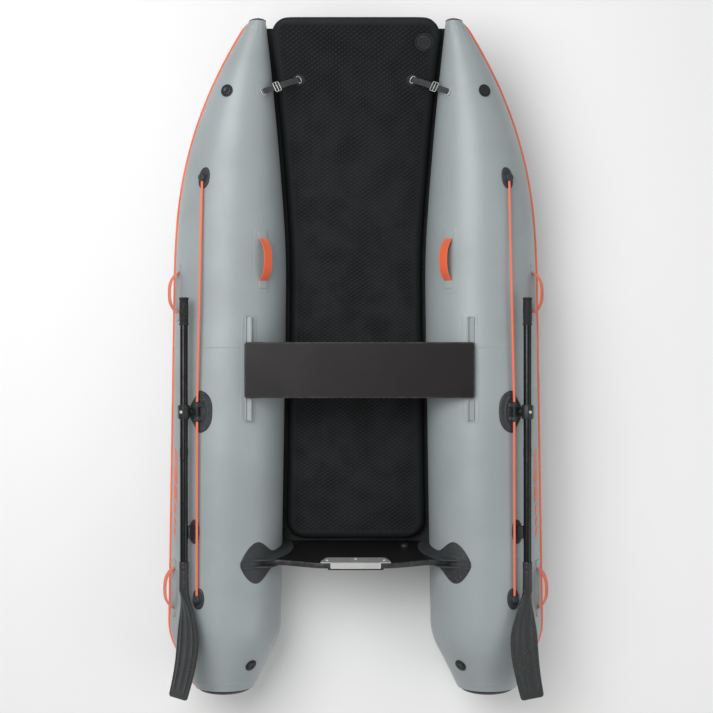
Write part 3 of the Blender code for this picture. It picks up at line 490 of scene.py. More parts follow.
def build_webbing_group():
    """Woven tape from UV in metres: ribs across the length, a twill slant and firm selvedges."""
    group, given, put = new_group(
        "tape_weave",
        [("Rib Pitch", "NodeSocketFloat", 0.0019), ("Half Width", "NodeSocketFloat", 0.018),
         ("Lit", "NodeSocketColor", (0.8, 0.3, 0.1, 1)), ("Deep", "NodeSocketColor", (0.5, 0.15, 0.05, 1))],
        [("Color", "NodeSocketColor"), ("Height", "NodeSocketFloat")])
    uv = group.nodes.new("ShaderNodeTexCoord").outputs["UV"]
    split = group.nodes.new("ShaderNodeSeparateXYZ")
    group.links.new(uv, split.inputs[0])
    along, across = split.outputs[0], split.outputs[1]
    turns = math_node(group, "DIVIDE", along, given.outputs["Rib Pitch"])
    slant = math_node(group, "ABSOLUTE", math_node(group, "DIVIDE", across, given.outputs["Rib Pitch"]))
    wave = math_node(group, "SINE", math_node(group, "MULTIPLY", math_node(
        group, "ADD", turns, math_node(group, "MULTIPLY", slant, 0.35)), 2 * math.pi))
    cords = math_node(group, "SINE", math_node(group, "MULTIPLY", math_node(
        group, "DIVIDE", across, given.outputs["Rib Pitch"]), 2 * math.pi * 0.75))
    weave = math_node(group, "ADD", math_node(group, "MULTIPLY", wave, 0.34),
                      math_node(group, "MULTIPLY", cords, 0.14))
    reach = math_node(group, "DIVIDE", math_node(group, "ABSOLUTE", across), given.outputs["Half Width"])
    selvedge = map_range(group, reach, 0.80, 0.93, 0.0, 1.0)
    height = math_node(group, "ADD", math_node(group, "ADD", weave, 0.5),
                       math_node(group, "MULTIPLY", selvedge, 0.35))
    group.links.new(height, put.inputs["Height"])
    # painted shade: by height, the colour runs from the darker second colour in the weave's hollows to the lit colour
    # on the ribs
    shade = mix_colours(group, map_range(group, height, 0.10, 0.90, 0.0, 1.0), given.outputs["Deep"],
                        given.outputs["Lit"])
    group.links.new(shade, put.inputs["Color"])
    return group


def build_dash_group():
    """Embossed deck fabric: brick-laid slanting dashes, each a short raised lozenge."""
    group, given, put = new_group(
        "embossed_dashes",
        [("Pitch Along", "NodeSocketFloat", 0.0155), ("Pitch Across", "NodeSocketFloat", 0.0115)],
        [("Mask", "NodeSocketFloat"), ("Height", "NodeSocketFloat")])
    place = object_place(group)
    split = group.nodes.new("ShaderNodeSeparateXYZ")
    group.links.new(place, split.inputs[0])
    column = math_node(group, "DIVIDE", split.outputs[0], given.outputs["Pitch Across"])
    odd = math_node(group, "MULTIPLY", math_node(group, "FLOORED_MODULO", math_node(group, "FLOOR", column), 2.0), 0.5)
    row = math_node(group, "ADD", math_node(group, "DIVIDE", split.outputs[1], given.outputs["Pitch Along"]), odd)
    u = math_node(group, "MULTIPLY", math_node(group, "SUBTRACT", math_node(group, "FRACT", column), 0.5),
                  given.outputs["Pitch Across"])
    v = math_node(group, "MULTIPLY", math_node(group, "SUBTRACT", math_node(group, "FRACT", row), 0.5),
                  given.outputs["Pitch Along"])
    turn = math.radians(32.0)
    lengthwise = math_node(group, "ADD", math_node(group, "MULTIPLY", u, math.cos(turn)),
                           math_node(group, "MULTIPLY", v, math.sin(turn)))
    crosswise = math_node(group, "SUBTRACT", math_node(group, "MULTIPLY", v, math.cos(turn)),
                          math_node(group, "MULTIPLY", u, math.sin(turn)))
    far = math_node(group, "SQRT", math_node(
        group, "ADD", math_node(group, "POWER", math_node(group, "DIVIDE", lengthwise, 0.0058), 2.0),
        math_node(group, "POWER", math_node(group, "DIVIDE", crosswise, 0.0021), 2.0)))
    mask = map_range(group, far, 0.55, 1.15, 1.0, 0.0)
    group.links.new(mask, put.inputs["Mask"])
    threads = math_node(group, "MULTIPLY", noise(group, place, 1500.0, 1.0), 0.22)
    group.links.new(math_node(group, "ADD", mask, threads), put.inputs["Height"])
    return group


class Finishes:
    """Every finish of the boat, made once from the groups and the user's colours."""

    DUST = (0.30, 0.29, 0.27, 1)

    def __init__(self, colours, sizes):
        self.tone = build_tone_group()
        self.grain = build_grain_group()
        self.tape = build_webbing_group()
        self.dashes = build_dash_group()
        self.colours = colours
        self.sizes = sizes

    def base(self, name, rough, metallic=0.0, coat=0.0, coat_rough=0.2, sheen=0.0, specular=0.5):
        """A new material with its shader; constants sit on the shader's own sockets."""
        material = bpy.data.materials.new(name)
        material.use_nodes = True
        tree = material.node_tree
        shader = tree.nodes["Principled BSDF"]
        for key, value in (("Roughness", rough), ("Metallic", metallic), ("IOR", 1.5),
                           ("Specular IOR Level", specular), ("Coat Weight", coat),
                           ("Coat Roughness", coat_rough), ("Sheen Weight", sheen)):
            shader.inputs[key].default_value = value
        return material, tree, shader

    def use(self, tree, group, **values):
        """Place a group in a tree with its own values."""
        node = tree.nodes.new("ShaderNodeGroup")
        node.node_tree = group
        for key, value in values.items():
            node.inputs[key.replace("_", " ")].default_value = value
        return node

    def paint(self, tree, shader, colour, tone, height, strength, distance):
        """Colour, the tone's roughness and a bump into a shader."""
        tree.links.new(colour, shader.inputs["Base Color"])
        tree.links.new(tone.outputs["Roughness"], shader.inputs["Roughness"])
        node = tree.nodes.new("ShaderNodeBump")
        node.inputs["Strength"].default_value = strength
        node.inputs["Distance"].default_value = distance
        tree.links.new(height, node.inputs["Height"])
        tree.links.new(node.outputs["Normal"], shader.inputs["Normal"])

    def moulded(self, name, base, shade, dust=0.1, rough=(0.4, 0.6), grain=900.0, relief=0.0004,
                blotch=8.0, **shader_values):
        """Rubber, plastic, coated fabric or paint: drifting tone, dust and a fine grain."""
        material, tree, shader = self.base(name, rough[0], **shader_values)
        tone = self.use(tree, self.tone, Base=(*base, 1), Shade=(*shade, 1), Dust=self.DUST, Blotch_Scale=blotch,
                        Dust_Amount=dust, Rough_Low=rough[0], Rough_High=rough[1])
        fine = self.use(tree, self.grain, Scale=grain)
        self.paint(tree, shader, tone.outputs["Color"], tone, fine.outputs["Height"], 0.35, relief)
        return material

    def deck(self):
        """Embossed deck fabric: charcoal dashes on black, with a plain paler band along the rim."""
        material, tree, shader = self.base("deck_emboss", 0.66, specular=0.16)
        dash = self.use(tree, self.dashes, Pitch_Along=self.sizes.dash_pitch, Pitch_Across=self.sizes.dash_columns)
        rim = mark_on(tree, "rim")
        tone = self.use(tree, self.tone, Base=(*self.colours.deck, 1),
                        Shade=(*scaled(self.colours.deck, 0.62), 1), Dust=(0.030, 0.031, 0.031, 1),
                        Blotch_Scale=9.0, Dust_Amount=0.20, Rough_Low=0.56, Rough_High=0.78)
        off = math_node(tree, "SUBTRACT", 1.0, rim, clamp=True)
        raised = math_node(tree, "MULTIPLY", dash.outputs["Mask"], off)
        # painted highlight: the raised dashes are lightened towards (0.034, 0.038, 0.040) by 0.55 of their mask
        lit = mix_colours(tree, math_node(tree, "MULTIPLY", raised, 0.55), tone.outputs["Color"],
                          (0.034, 0.038, 0.040))
        edge = mix_colours(tree, rim, lit, (0.0125, 0.0140, 0.0155))
        height = math_node(tree, "MULTIPLY", dash.outputs["Height"], off)
        self.paint(tree, shader, edge, tone, height, 0.85, 0.0011)
        return material

    def webbing(self, name, lit, hollow_shade, half):
        """Ribbed woven tape, following the strap by its own UV."""
        material, tree, shader = self.base(name, 0.62, sheen=0.25)
        tape = self.use(tree, self.tape, Half_Width=half, Lit=(*lit, 1), Deep=(*hollow_shade, 1))
        tone = self.use(tree, self.tone, Rough_Low=0.55, Rough_High=0.78, Blotch_Scale=30.0)
        self.paint(tree, shader, tape.outputs["Color"], tone, tape.outputs["Height"], 0.8, 0.0006)
        return material

    def rope(self):
        """Braided line: bright crowns and deeper hollows by the piece's own crown attribute."""
        material, tree, shader = self.base("braided_line", 0.6, sheen=0.3)
        crown = mark_on(tree, "crown")
        tone = self.use(tree, self.tone, Rough_Low=0.5, Rough_High=0.75, Blotch_Scale=40.0)
        # painted shade: the line's colour falls to 0.55 of itself in the hollows between the strands
        colour = mix_colours(tree, map_range(tree, crown, 0.1, 0.8, 0.0, 1.0),
                             scaled(self.colours.rope, 0.55), tuple(self.colours.rope))
        fine = self.use(tree, self.grain, Scale=1800.0)
        self.paint(tree, shader, colour, tone, fine.outputs["Height"], 0.5, 0.0004)
        return material

    def ply(self, name, face, rim, rough, scuff):
        """Film-faced or painted ply: a satin face with rubbed edges that show the plies as bands."""
        material, tree, shader = self.base(name, rough[0], specular=0.22, coat=0.04, coat_rough=0.25)
        edge = mark_on(tree, "edge")
        tone = self.use(tree, self.tone, Base=(*face, 1), Shade=(*scaled(face, 0.7), 1),
                        Dust=(0.045, 0.042, 0.040, 1), Blotch_Scale=5.0, Dust_Amount=0.25,
                        Rough_Low=rough[0], Rough_High=rough[1])
        place = object_place(tree)
        fibre = map_range(tree, noise(tree, place, 22.0, 5.0, 0.65, (1.0, 14.0, 1.0)), 0.42, 0.70, 0.0, 1.0)
        worn = map_range(tree, noise(tree, place, 55.0, 5.0, 0.7), 0.42, 0.62, 0.35, 1.0)
        share = math_node(tree, "MULTIPLY", math_node(tree, "MULTIPLY", edge, worn), scuff)
        colour = mix_colours(tree, share, tone.outputs["Color"], rim)
        fine = self.use(tree, self.grain, Scale=700.0)
        height = math_node(tree, "ADD", math_node(tree, "MULTIPLY", fine.outputs["Height"], 0.4),
                           math_node(tree, "MULTIPLY", fibre, 0.5))
        self.paint(tree, shader, colour, tone, height, 0.3, 0.0004)
        return material

    def metal(self, name, base, rough, stretch, metallic=1.0):
        """Rolled or anodised metal: long brushed streaks and small stains."""
        material, tree, shader = self.base(name, rough[0], metallic=metallic)
        tone = self.use(tree, self.tone, Base=(*base, 1), Shade=(*scaled(base, 0.80), 1),
                        Dust=(*scaled(base, 0.6), 1), Blotch_Scale=18.0, Dust_Amount=0.3,
                        Rough_Low=rough[0], Rough_High=rough[1])
        place = object_place(tree)
        streak = noise(tree, place, 120.0, 3.0, 0.6, stretch)
        self.paint(tree, shader, tone.outputs["Color"], tone, streak, 0.25, 0.0003)
        return material

    def make_all(self):
        """Every finish by its slot name."""
        grey, orange, web = self.colours.tube, self.colours.trim, self.colours.webbing
        return {
            "grey_pvc": self.moulded("grey_tube_fabric", grey, scaled(grey, 0.90), dust=0.22, rough=(0.36, 0.50),
                                     grain=1500.0, relief=0.0005, blotch=3.2, coat=0.06, coat_rough=0.35,
                                     sheen=0.04),
            "black_pvc": self.moulded("black_fabric", (0.020, 0.021, 0.023), (0.013, 0.014, 0.015), dust=0.2,
                                    rough=(0.42, 0.60), grain=1400.0, specular=0.25),
            "deck_fabric": self.deck(),
            "orange_pvc": self.moulded("orange_trim", orange, scaled(orange, 0.86), dust=0.10,
                                     rough=(0.38, 0.54), grain=1200.0, relief=0.0003, blotch=9.0),
            # the second colour of each tape is its painted shade in the weave's hollows
            "orange_webbing": self.webbing("orange_tape", web, scaled(web, 0.52),
                                           self.sizes.tape_width / 2),
            "black_webbing": self.webbing("black_tape", (0.030, 0.031, 0.034), (0.010, 0.010, 0.011), 0.011),
            "orange_rope": self.rope(),
            "black_rubber": self.moulded("black_rubber", (0.036, 0.040, 0.044), (0.026, 0.029, 0.032),
                                       dust=0.25, rough=(0.45, 0.66), grain=1100.0, specular=0.30),
            "black_moulding": self.moulded("black_moulding", (0.022, 0.024, 0.026), (0.015, 0.016, 0.018),
                                         dust=0.2, rough=(0.34, 0.52), grain=1000.0, specular=0.30),
            "black_plastic": self.moulded("black_plastic", (0.018, 0.020, 0.021), (0.013, 0.014, 0.015),
                                        dust=0.2, rough=(0.30, 0.46), grain=1300.0, relief=0.0002,
                                        specular=0.32),
            "painted_ply": self.ply("painted_board", (0.012, 0.011, 0.012), (0.048, 0.047, 0.050),
                                    (0.30, 0.46), 0.8),
            "seat_ply": self.ply("film_faced_board", self.colours.seat, (0.060, 0.050, 0.046), (0.34, 0.52), 0.9),
            "bare_aluminium": self.metal("rolled_aluminium", (0.58, 0.59, 0.57), (0.34, 0.50), (0.05, 1.0, 1.0),
                                         metallic=0.55),
            "black_anodised": self.metal("black_anodised", (0.034, 0.037, 0.037), (0.24, 0.34), (1.0, 0.04, 1.0)),
            "grip_rubber": self.moulded("grip_rubber", (0.020, 0.021, 0.022), (0.014, 0.015, 0.016), dust=0.2,
                                      rough=(0.52, 0.70), grain=800.0, specular=0.25),
            "blade_plastic": self.moulded("blade_plastic", (0.026, 0.028, 0.030), (0.019, 0.021, 0.022),
                                        dust=0.25, rough=(0.32, 0.50), grain=900.0, specular=0.35),
        }


# ------------------------------------------------------------------ shapes shared by many fittings
def rounded(points, radius, steps=7):
    """Polygon with each corner cut by the curve (1-t)^2 A + 2t(1-t) C + t^2 B, A and B a radius from C."""
    corner = np.asarray(points, float)
    back, ahead = np.roll(corner, 1, axis=0) - corner, np.roll(corner, -1, axis=0) - corner
    back /= np.linalg.norm(back, axis=1, keepdims=True)
    ahead /= np.linalg.norm(ahead, axis=1, keepdims=True)
    radius = np.broadcast_to(np.asarray(radius, float), len(corner))[:, None]
    start, end = corner + back * radius, corner + ahead * radius
    t = np.linspace(0, 1, steps)[None, :, None]
    return ((1 - t) ** 2 * start[:, None] + 2 * t * (1 - t) * corner[:, None]
            + t ** 2 * end[:, None]).reshape(-1, 2)


def oblong(left, near, right, far, radius):
    """Rectangle between two opposite corners, rounded."""
    return rounded([(left, near), (right, near), (right, far), (left, far)], radius)


def resample(outline, count):
    """The closed outline at even steps of its length."""
    closed = np.concatenate([outline, outline[:1]])
    length = np.concatenate([[0], np.cumsum(np.linalg.norm(np.diff(closed, axis=0), axis=1))])
    at = np.linspace(0, length[-1], count, endpoint=False)
    return np.stack([np.interp(at, length, closed[:, k]) for k in range(2)], axis=-1)


def plate(name, outline, depth, rounding, place, sharp=40.0, inner=(0.35, 0.7), rubbed=False):
    """Board of an outline: rings step inward by r(1 - sin t) and down by r(1 - cos t) round both rims.

    place(a, b, d) carries the outline's a and b and the depth d to the boat. A rubbed board marks its rims.
    """
    nxt, prv = np.roll(outline, -1, axis=0), np.roll(outline, 1, axis=0)
    tangent = nxt - prv
    tangent /= np.maximum(np.linalg.norm(tangent, axis=1, keepdims=True), 1e-9)
    area = np.sum(outline[:, 0] * nxt[:, 1] - outline[:, 1] * nxt[:, 0])
    inward = np.stack([-tangent[:, 1], tangent[:, 0]], axis=-1) * np.sign(area)
    middle = (outline.min(0) + outline.max(0)) / 2
    t = np.linspace(0, np.pi / 2, 5)
    rows = [(share, 0.0, 0.0, 0.0) for share in inner]
    rows += [(1.0, 2.5 * rounding, 0.0, 0.0), (1.0, 1.4 * rounding, 0.0, 0.3)]
    rows += [(1.0, rounding * (1 - math.sin(a)), rounding * (1 - math.cos(a)), 1.0) for a in t]
    far = [(share, inset, depth - level, mark) for share, inset, level, mark in reversed(rows)]
    rings, edge = [], []
    for share, inset, level, mark in rows + far:
        ring = outline + inward * inset
        ring = middle + (ring - middle) * share
        rings.append(place(ring[:, 0], ring[:, 1], np.full(len(ring), level)))
        edge.append(np.full(len(ring), mark))
    return loft(name, np.array(rings), sharp=sharp, marks={"edge": np.array(edge)} if rubbed else None)


def frame_place(origin, axes):
    """A place function: origin + a axes[0] + b axes[1] + d axes[2], axes as columns."""
    return lambda a, b, d: np.asarray(origin) + np.stack([a, b, d], axis=-1) @ np.asarray(axes).T


def tube_frame(side, y, degrees):
    """Point on a tube and the columns along, across, outwards there."""
    spot = on_tube(side, y, degrees)
    ahead = on_tube(side, y + 0.01, degrees) - on_tube(side, y - 0.01, degrees)
    out = on_tube(side, y, degrees, 1.0) - spot
    ahead /= np.linalg.norm(ahead)
    out -= ahead * (out @ ahead)
    out /= np.linalg.norm(out)
    return spot, np.stack([ahead, np.cross(out, ahead), out], axis=1)


def oval(half_long, half_wide, count=72, power=2.0):
    """Superellipse outline in (along, across)."""
    return superellipse(count, power) * (half_long, half_wide)


def bolt(name, origin, axes, radius=0.008, high=0.005):
    """Domed head with a flange and a drive recess, turned about the third axis."""
    profile = [(0.0, 0.001), (0.0, radius * 1.25), (0.0012, radius * 1.25), (0.0014, radius),
               (high * 0.45, radius * 0.97), (high * 0.80, radius * 0.78), (high, radius * 0.45),
               (high, radius * 0.34), (high - 0.0018, radius * 0.30), (high - 0.0018, 0.0005)]
    return turned(name, profile, origin, axes, 36)


class Hull:
    """What the operators share: the finishes by slot name, and the user's sizes."""

    finishes = {}
    sizes = None


def finish_piece(piece, slot, body="hull", nodes=()):
    """Give a piece its finish, its body, its slot and the frame nodes it stands for."""
    piece.data.materials.clear()
    piece.data.materials.append(Hull.finishes[slot])
    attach(piece, body)
    if nodes:
        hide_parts(*nodes)


# ------------------------------------------------------------------ tubes and their trim
def build_tube(label, side):
    """Tube: rings on the hull lines, plus a lap step of 1 mm and faint puckers where panels are glued."""
    y = np.concatenate([np.linspace(STERN_Y, -0.98, 90), np.linspace(-0.977, 0.03, 60),
                        np.linspace(0.035, 0.06, 26), np.linspace(0.07, 1.20, 120),
                        np.linspace(1.204, CAP_Y, 50)])[:, None]
    turn = np.linspace(0, 360, 144, endpoint=False)[None]
    lap = Hull.sizes.lap_step * (smooth(y, 0.0470, 0.0486) - smooth(y, 0.055, 0.16))
    lap = lap + 0.0008 * (smooth(y, 1.2530, 1.2545) - smooth(y, 1.258, 1.278))
    lap = lap + 0.0009 * (smooth(-y, 1.2340, 1.2352) - smooth(-y, 1.2440, 1.2452) + smooth(-y, 1.2475, 1.268) * 0.2)
    spread = bell(y, -1.02, 0.045) + 0.8 * bell(y, 1.245, 0.02)
    pucker = 0.00055 * np.sin(np.radians(turn) * 17 + 0.6 * np.sin(np.radians(turn) * 5)) * spread
    slack = 0.0006 * np.sin(y * 31 + np.radians(turn) * 2) * smooth(-y, 0.7, 1.2)
    rings = on_tube(side, y, turn, lap + pucker + slack)
    tube = loft(f"{label}_tube_skin", rings, sharp=50.0)
    finish_piece(tube, "grey_pvc", nodes=[f"{label}_tube"])


def build_caps(label, side):
    """Bow tip: short cone with a bead; stern cap: rings of an ellipse, bulging aft, with two beads."""
    turn = np.linspace(0, 360, 96, endpoint=False)[None]
    t = np.linspace(0, 1, 14)[:, None]
    y = CAP_Y + 0.0004 + (BOW_Y - CAP_Y - 0.0004) * t
    height = 0.0016 * (1 - smooth(t, 0.25, 0.4)) - 0.016 * t ** 2.4
    tip = loft(f"{label}_bow_tip", on_tube(side, y + 0 * turn, turn, height), sharp=50.0)
    finish_piece(tip, "black_pvc", nodes=[f"{label}_bow_cap"])

    end = float(tube_radius(STERN_Y))
    lean = np.radians(np.linspace(0, 84, 26))[:, None]
    bead = 1 + 0.016 * bell(lean, 0.10, 0.05) + 0.012 * bell(lean, 0.95, 0.05)
    reach = 0.93 * end * np.cos(lean) * bead
    aft = STERN_Y - 0.0004 - 0.027 * np.sin(lean) * (1 + 0.02 * (bead - 1))
    around = np.radians(turn)
    rings = np.stack(np.broadcast_arrays(side * (float(tube_x(STERN_Y)) + reach * np.sin(around)), aft,
                                         float(tube_z(STERN_Y)) + reach * np.cos(around)), axis=-1)
    cap = loft(f"{label}_stern_dome", rings, sharp=60.0)
    finish_piece(cap, "black_pvc", nodes=[f"{label}_stern_cap"])


def build_strake(label, side):
    """Rubbing strake: a half-round with two grooves, tapered at both ends, carried along 88 degrees."""
    y = np.concatenate([np.linspace(STERN_Y + 0.002, -1.0, 60), np.linspace(-0.99, 0.7, 90),
                        np.linspace(0.71, BOW_Y - 0.021, 90)])[:, None]
    half = np.degrees(0.015 / np.maximum(tube_radius(y), 0.06))
    share = np.sin(np.linspace(-np.pi / 2, np.pi / 2, 29))[None]
    groove = 0.0010 * (bell(share, 0.34, 0.09) + bell(share, -0.34, 0.09))
    ends = np.sqrt(smooth(y, STERN_Y, STERN_Y + 0.02) * smooth(-y, -(BOW_Y - 0.019), -(BOW_Y - 0.045))) * 0.8 + 0.2
    high = ends * (Hull.sizes.strake_height * (1 - 0.85 * share ** 2) - groove) + 0.0004
    outer = on_tube(side, y, 88 + share * half, high)
    inner = on_tube(side, y, 88 + share[:, ::-1] * half, 0.0002)
    strake = loft(f"{label}_edge_strake", np.concatenate([outer, inner], axis=1), sharp=50.0)
    finish_piece(strake, "orange_pvc", nodes=[f"{label}_rubbing_strake"])


def build_patches(label, side):
    """Tone-on-tone wear patches glued under the handles: rounded oblongs a millimetre thick."""
    patches = (("inner", -38.0, 0.376, 0.124, 0.036), ("front", 65.0, 0.260, 0.105, 0.032),
               ("rear", 65.0, -0.873, 0.105, 0.032))
    for place, degrees, middle, half_long, half_wide in patches:
        patch = pad_on_tube(f"{label}_{place}_patch", side, middle, degrees,
                            oval(half_long, half_wide, 96, 5.0), pad_rows(0.0011, 0.0004), sharp=70.0)
        finish_piece(patch, "grey_pvc")


def build_marks(label, side):
    """Plain maker's ornament on the outboard side: slanting bars and one solid block, 0.8 mm proud."""
    bars = [(-0.352, 0.032, 0.007), (-0.374, 0.032, 0.007), (-0.396, 0.032, 0.007), (-0.440, 0.032, 0.028),
            (-0.508, 0.032, 0.030), (-0.570, 0.024, 0.018), (-0.616, 0.024, 0.013), (-0.656, 0.024, 0.013)]
    parts = []
    for number, (middle, tall, half) in enumerate(bars):
        lean = 0.32 * tall
        shape = rounded([(-half - lean, -tall / 2), (half - lean, -tall / 2), (half + lean, tall / 2),
                         (-half + lean, tall / 2)], 0.003, 4)
        outline = resample(shape, 96)
        parts.append(pad_on_tube(f"{label}_bar_{number}", side, middle, 63.5, outline,
                                 pad_rows(0.0008, 0.0003, 3, rings=6), sharp=70.0))
    finish_piece(join_pieces(f"{label}_side_bars", parts), "orange_pvc")


def build_valve(name, side, degrees, middle, node):
    """Air valve: a thin base flange, a grooved ring, a knurled cap with a raised cross bar."""
    spot, axes = tube_frame(side, middle, degrees)
    sag = 0.0012 + 0.023 ** 2 / (2 * float(tube_radius(middle))) * 0.2
    origin = spot + axes[:, 2] * (sag - 0.0012)
    base = turned(f"{name}_flange", [(0, 0.001), (0, 0.0232), (0.0016, 0.0238), (0.0026, 0.0230),
                                     (0.0028, 0.0195), (0.0022, 0.0190), (0.0022, 0.001)], origin, axes, 64)
    cap = turned(f"{name}_cap", [(0.0020, 0.001), (0.0020, 0.0172), (0.0048, 0.0172), (0.0060, 0.0163),
                                 (0.0068, 0.0140), (0.0070, 0.0090), (0.0064, 0.0080), (0.0064, 0.001)],
                 origin, axes, 96, wobble=knurl(0.022, 24, 0.0021, 0.0062))
    bar = plate(f"{name}_bar", oblong(-0.0125, -0.0022, 0.0125, 0.0022, 0.0015), -0.0030, 0.0005,
                frame_place(origin + axes[:, 2] * 0.0060, axes))
    piece = join_pieces(name, [base, cap, bar])
    finish_piece(piece, "black_plastic", nodes=[node])


# ------------------------------------------------------------------ bottom sheet and air deck
MAT_FRONT_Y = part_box("deck_mat")[1][1]
MAT_BACK_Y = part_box("deck_mat")[0][1]
MAT_THICKNESS = 0.065
MAT_CORNER = 0.078
MAT_GAP = 0.012
LAY_GAP = 0.0004


def mat_bottom(y):
    """The mat lies a hair over the sheet."""
    return sheet_z(y) + SHEET_THICKNESS + LAY_GAP


def deck_axes(y):
    """Columns to starboard, ahead along the deck's slope, and square to it."""
    slope = float(mat_bottom(y + 0.03) - mat_bottom(y - 0.03)) / 0.06
    ahead = np.array([0, 1, slope]) / math.hypot(1, slope)
    return np.stack([[1, 0, 0], ahead, np.cross([1, 0, 0], ahead)], axis=1)


def mat_half_width(y):
    """Tube's inner side less a gap, less the plan rounding c - sqrt(c^2 - (c - e)^2) near either end."""
    side = tube_x(y) - tube_radius(y) - MAT_GAP
    end = np.clip(np.minimum(MAT_FRONT_Y - y, y - MAT_BACK_Y), 0, MAT_CORNER)
    return side - (MAT_CORNER - np.sqrt(MAT_CORNER ** 2 - (MAT_CORNER - end) ** 2))


def build_bottom_sheet():
    """Fabric web between the tubes: a thin section that follows the sheet line, with a shallow slack."""
    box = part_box("bottom_sheet")
    y = np.linspace(box[0][1], box[1][1], 220)[:, None]
    radius = tube_radius(y)
    low = sheet_z(y)
    reach = np.minimum(*(tube_x(y) - np.sqrt(radius ** 2 - np.minimum(radius, np.abs(tube_z(y) - z)) ** 2)
                         for z in (low, low + SHEET_THICKNESS)))
    half = reach - 0.0008
    across = np.linspace(-1, 1, 60)
    loop = np.concatenate([np.stack([across, np.full(60, -0.5)], -1), np.stack([across[::-1], np.full(60, 0.5)], -1)])
    slack = 0.0012 * np.sin(9 * loop[:, 0] + 6 * y) * (1 - loop[:, 0] ** 2)
    x = half * loop[:, 0]
    z = low + SHEET_THICKNESS * (0.5 + loop[:, 1]) - np.abs(slack) * (loop[:, 1] < 0)
    rings = np.stack(np.broadcast_arrays(x, y, z), axis=-1)
    sheet = loft("hull_web", rings, sharp=50.0)
    finish_piece(sheet, "black_pvc", nodes=["bottom_sheet"])


def build_deck_mat():
    """Air deck: a flat pad with half-round sides; a taped rim stands 0.8 mm proud of the embossed middle."""
    radius = MAT_THICKNESS / 2
    ends = MAT_CORNER * (1 - np.cos(np.linspace(0, np.pi / 2, 22)))
    margin = MAT_CORNER + 0.008
    y = np.concatenate([MAT_BACK_Y + ends, np.linspace(MAT_BACK_Y + margin, MAT_FRONT_Y - margin, 230),
                        MAT_FRONT_Y - ends[::-1]])
    near = np.minimum(MAT_FRONT_Y - y, y - MAT_BACK_Y)
    squash = np.sqrt(1 - (1 - np.minimum(1.0, near / radius)) ** 2) * 0.94 + 0.06
    half = mat_half_width(y)
    turn = np.linspace(-np.pi / 2, np.pi / 2, 25)
    right = np.stack([np.cos(turn), np.sin(turn)], -1)
    flat = np.linspace(1, -1, 92)[1:-1]
    offset = np.concatenate([right[:, 0], np.zeros(90), -right[:, 0], np.zeros(90)])
    level = np.concatenate([right[:, 1], np.ones(90), right[::-1, 1], -np.ones(90)])
    lie = np.concatenate([np.ones(25), flat, -np.ones(25), flat[::-1]])
    x = lie[None] * (half - radius)[:, None] + radius * offset[None]
    inset = np.minimum(half[:, None] - np.abs(x), near[:, None])
    rim = smooth(-inset, -0.034, -0.031)
    seam = 0.0012 * bell(np.abs(level[None]), 0.62, 0.05)
    lift = 0.0008 * rim * (np.abs(level[None]) > 0.999) + seam * (np.abs(offset[None]) > 0)
    z = (mat_bottom(y) + radius)[:, None] + level[None] * (radius * squash[:, None] + lift)
    z = np.maximum(z, mat_bottom(y)[:, None])
    rings = np.stack(np.broadcast_arrays(x, y[:, None], z), axis=-1)
    mat = loft("air_deck", rings, sharp=55.0, marks={"rim": rim})
    finish_piece(mat, "deck_fabric", nodes=["deck_mat"])

    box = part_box("deck_valve")
    x, y = (box[0][0] + box[1][0]) / 2, (box[0][1] + box[1][1]) / 2
    axes = deck_axes(y)
    origin = np.array([x, y, float(mat_bottom(y)) + MAT_THICKNESS + 0.0012])
    flange = turned("deck_valve_flange", [(0, 0.001), (0, 0.0352), (0.0022, 0.0360), (0.0036, 0.0352),
                                          (0.0040, 0.0310), (0.0028, 0.0300), (0.0028, 0.001)], origin, axes, 96)
    cap = turned("deck_valve_cap", [(0.0026, 0.001), (0.0026, 0.0272), (0.0072, 0.0270), (0.0086, 0.0258),
                                    (0.0092, 0.0235), (0.0084, 0.0215), (0.0078, 0.0120), (0.0082, 0.0110),
                                    (0.0082, 0.001)],
                 origin, axes, 120, wobble=knurl(0.018, 20, 0.0027, 0.0088))
    lug = plate("deck_valve_lug", oblong(-0.019, -0.003, 0.019, 0.003, 0.002), -0.0034, 0.0006,
                frame_place(origin + axes[:, 2] * 0.0078, axes))
    finish_piece(join_pieces("deck_air_valve", [flange, cap, lug]), "black_plastic", nodes=["deck_valve"])


# ------------------------------------------------------------------ transom
def transom_top(x):
    """Top edge: level amidships, easing down 52 mm towards either end."""
    return TRANSOM_TOP - TRANSOM_END_DROP * smooth(np.abs(x), 0.10, 0.33)


def transom_side(z):
    """Half width cut to the round of the tube with a 5 mm gap."""
    y = transom_front(z)
    return tube_x(y) - np.sqrt((tube_radius(y) + 0.005) ** 2 - (z - tube_z(y)) ** 2)


def raked(depth_start=0.0):
    """Place function of the raked board: a is X, b is Z and d goes aft from the forward face."""
    return lambda a, b, d: np.stack([a, transom_front(b) - depth_start - d, b], axis=-1)


def build_transom():
    """Painted board with softened, rubbed edges."""
    bottom = float(sheet_z(TRANSOM_Y)) + SHEET_THICKNESS + LAY_GAP
    z = np.linspace(bottom, TRANSOM_TOP - TRANSOM_END_DROP, 60)
    x = np.linspace(0.325, -0.325, 140)
    right = np.stack([transom_side(z), z], -1)
    top = np.stack([x, transom_top(x)], -1)
    left = np.stack([-right[::-1, 0], right[::-1, 1]], -1)
    outline = resample(np.concatenate([right, top, left]), 420)
    board = plate("transom_panel", outline, TRANSOM_THICKNESS, 0.0030, raked(), sharp=45.0,
                  inner=(0.2, 0.5, 0.8), rubbed=True)
    finish_piece(board, "painted_ply", nodes=["transom_board"])


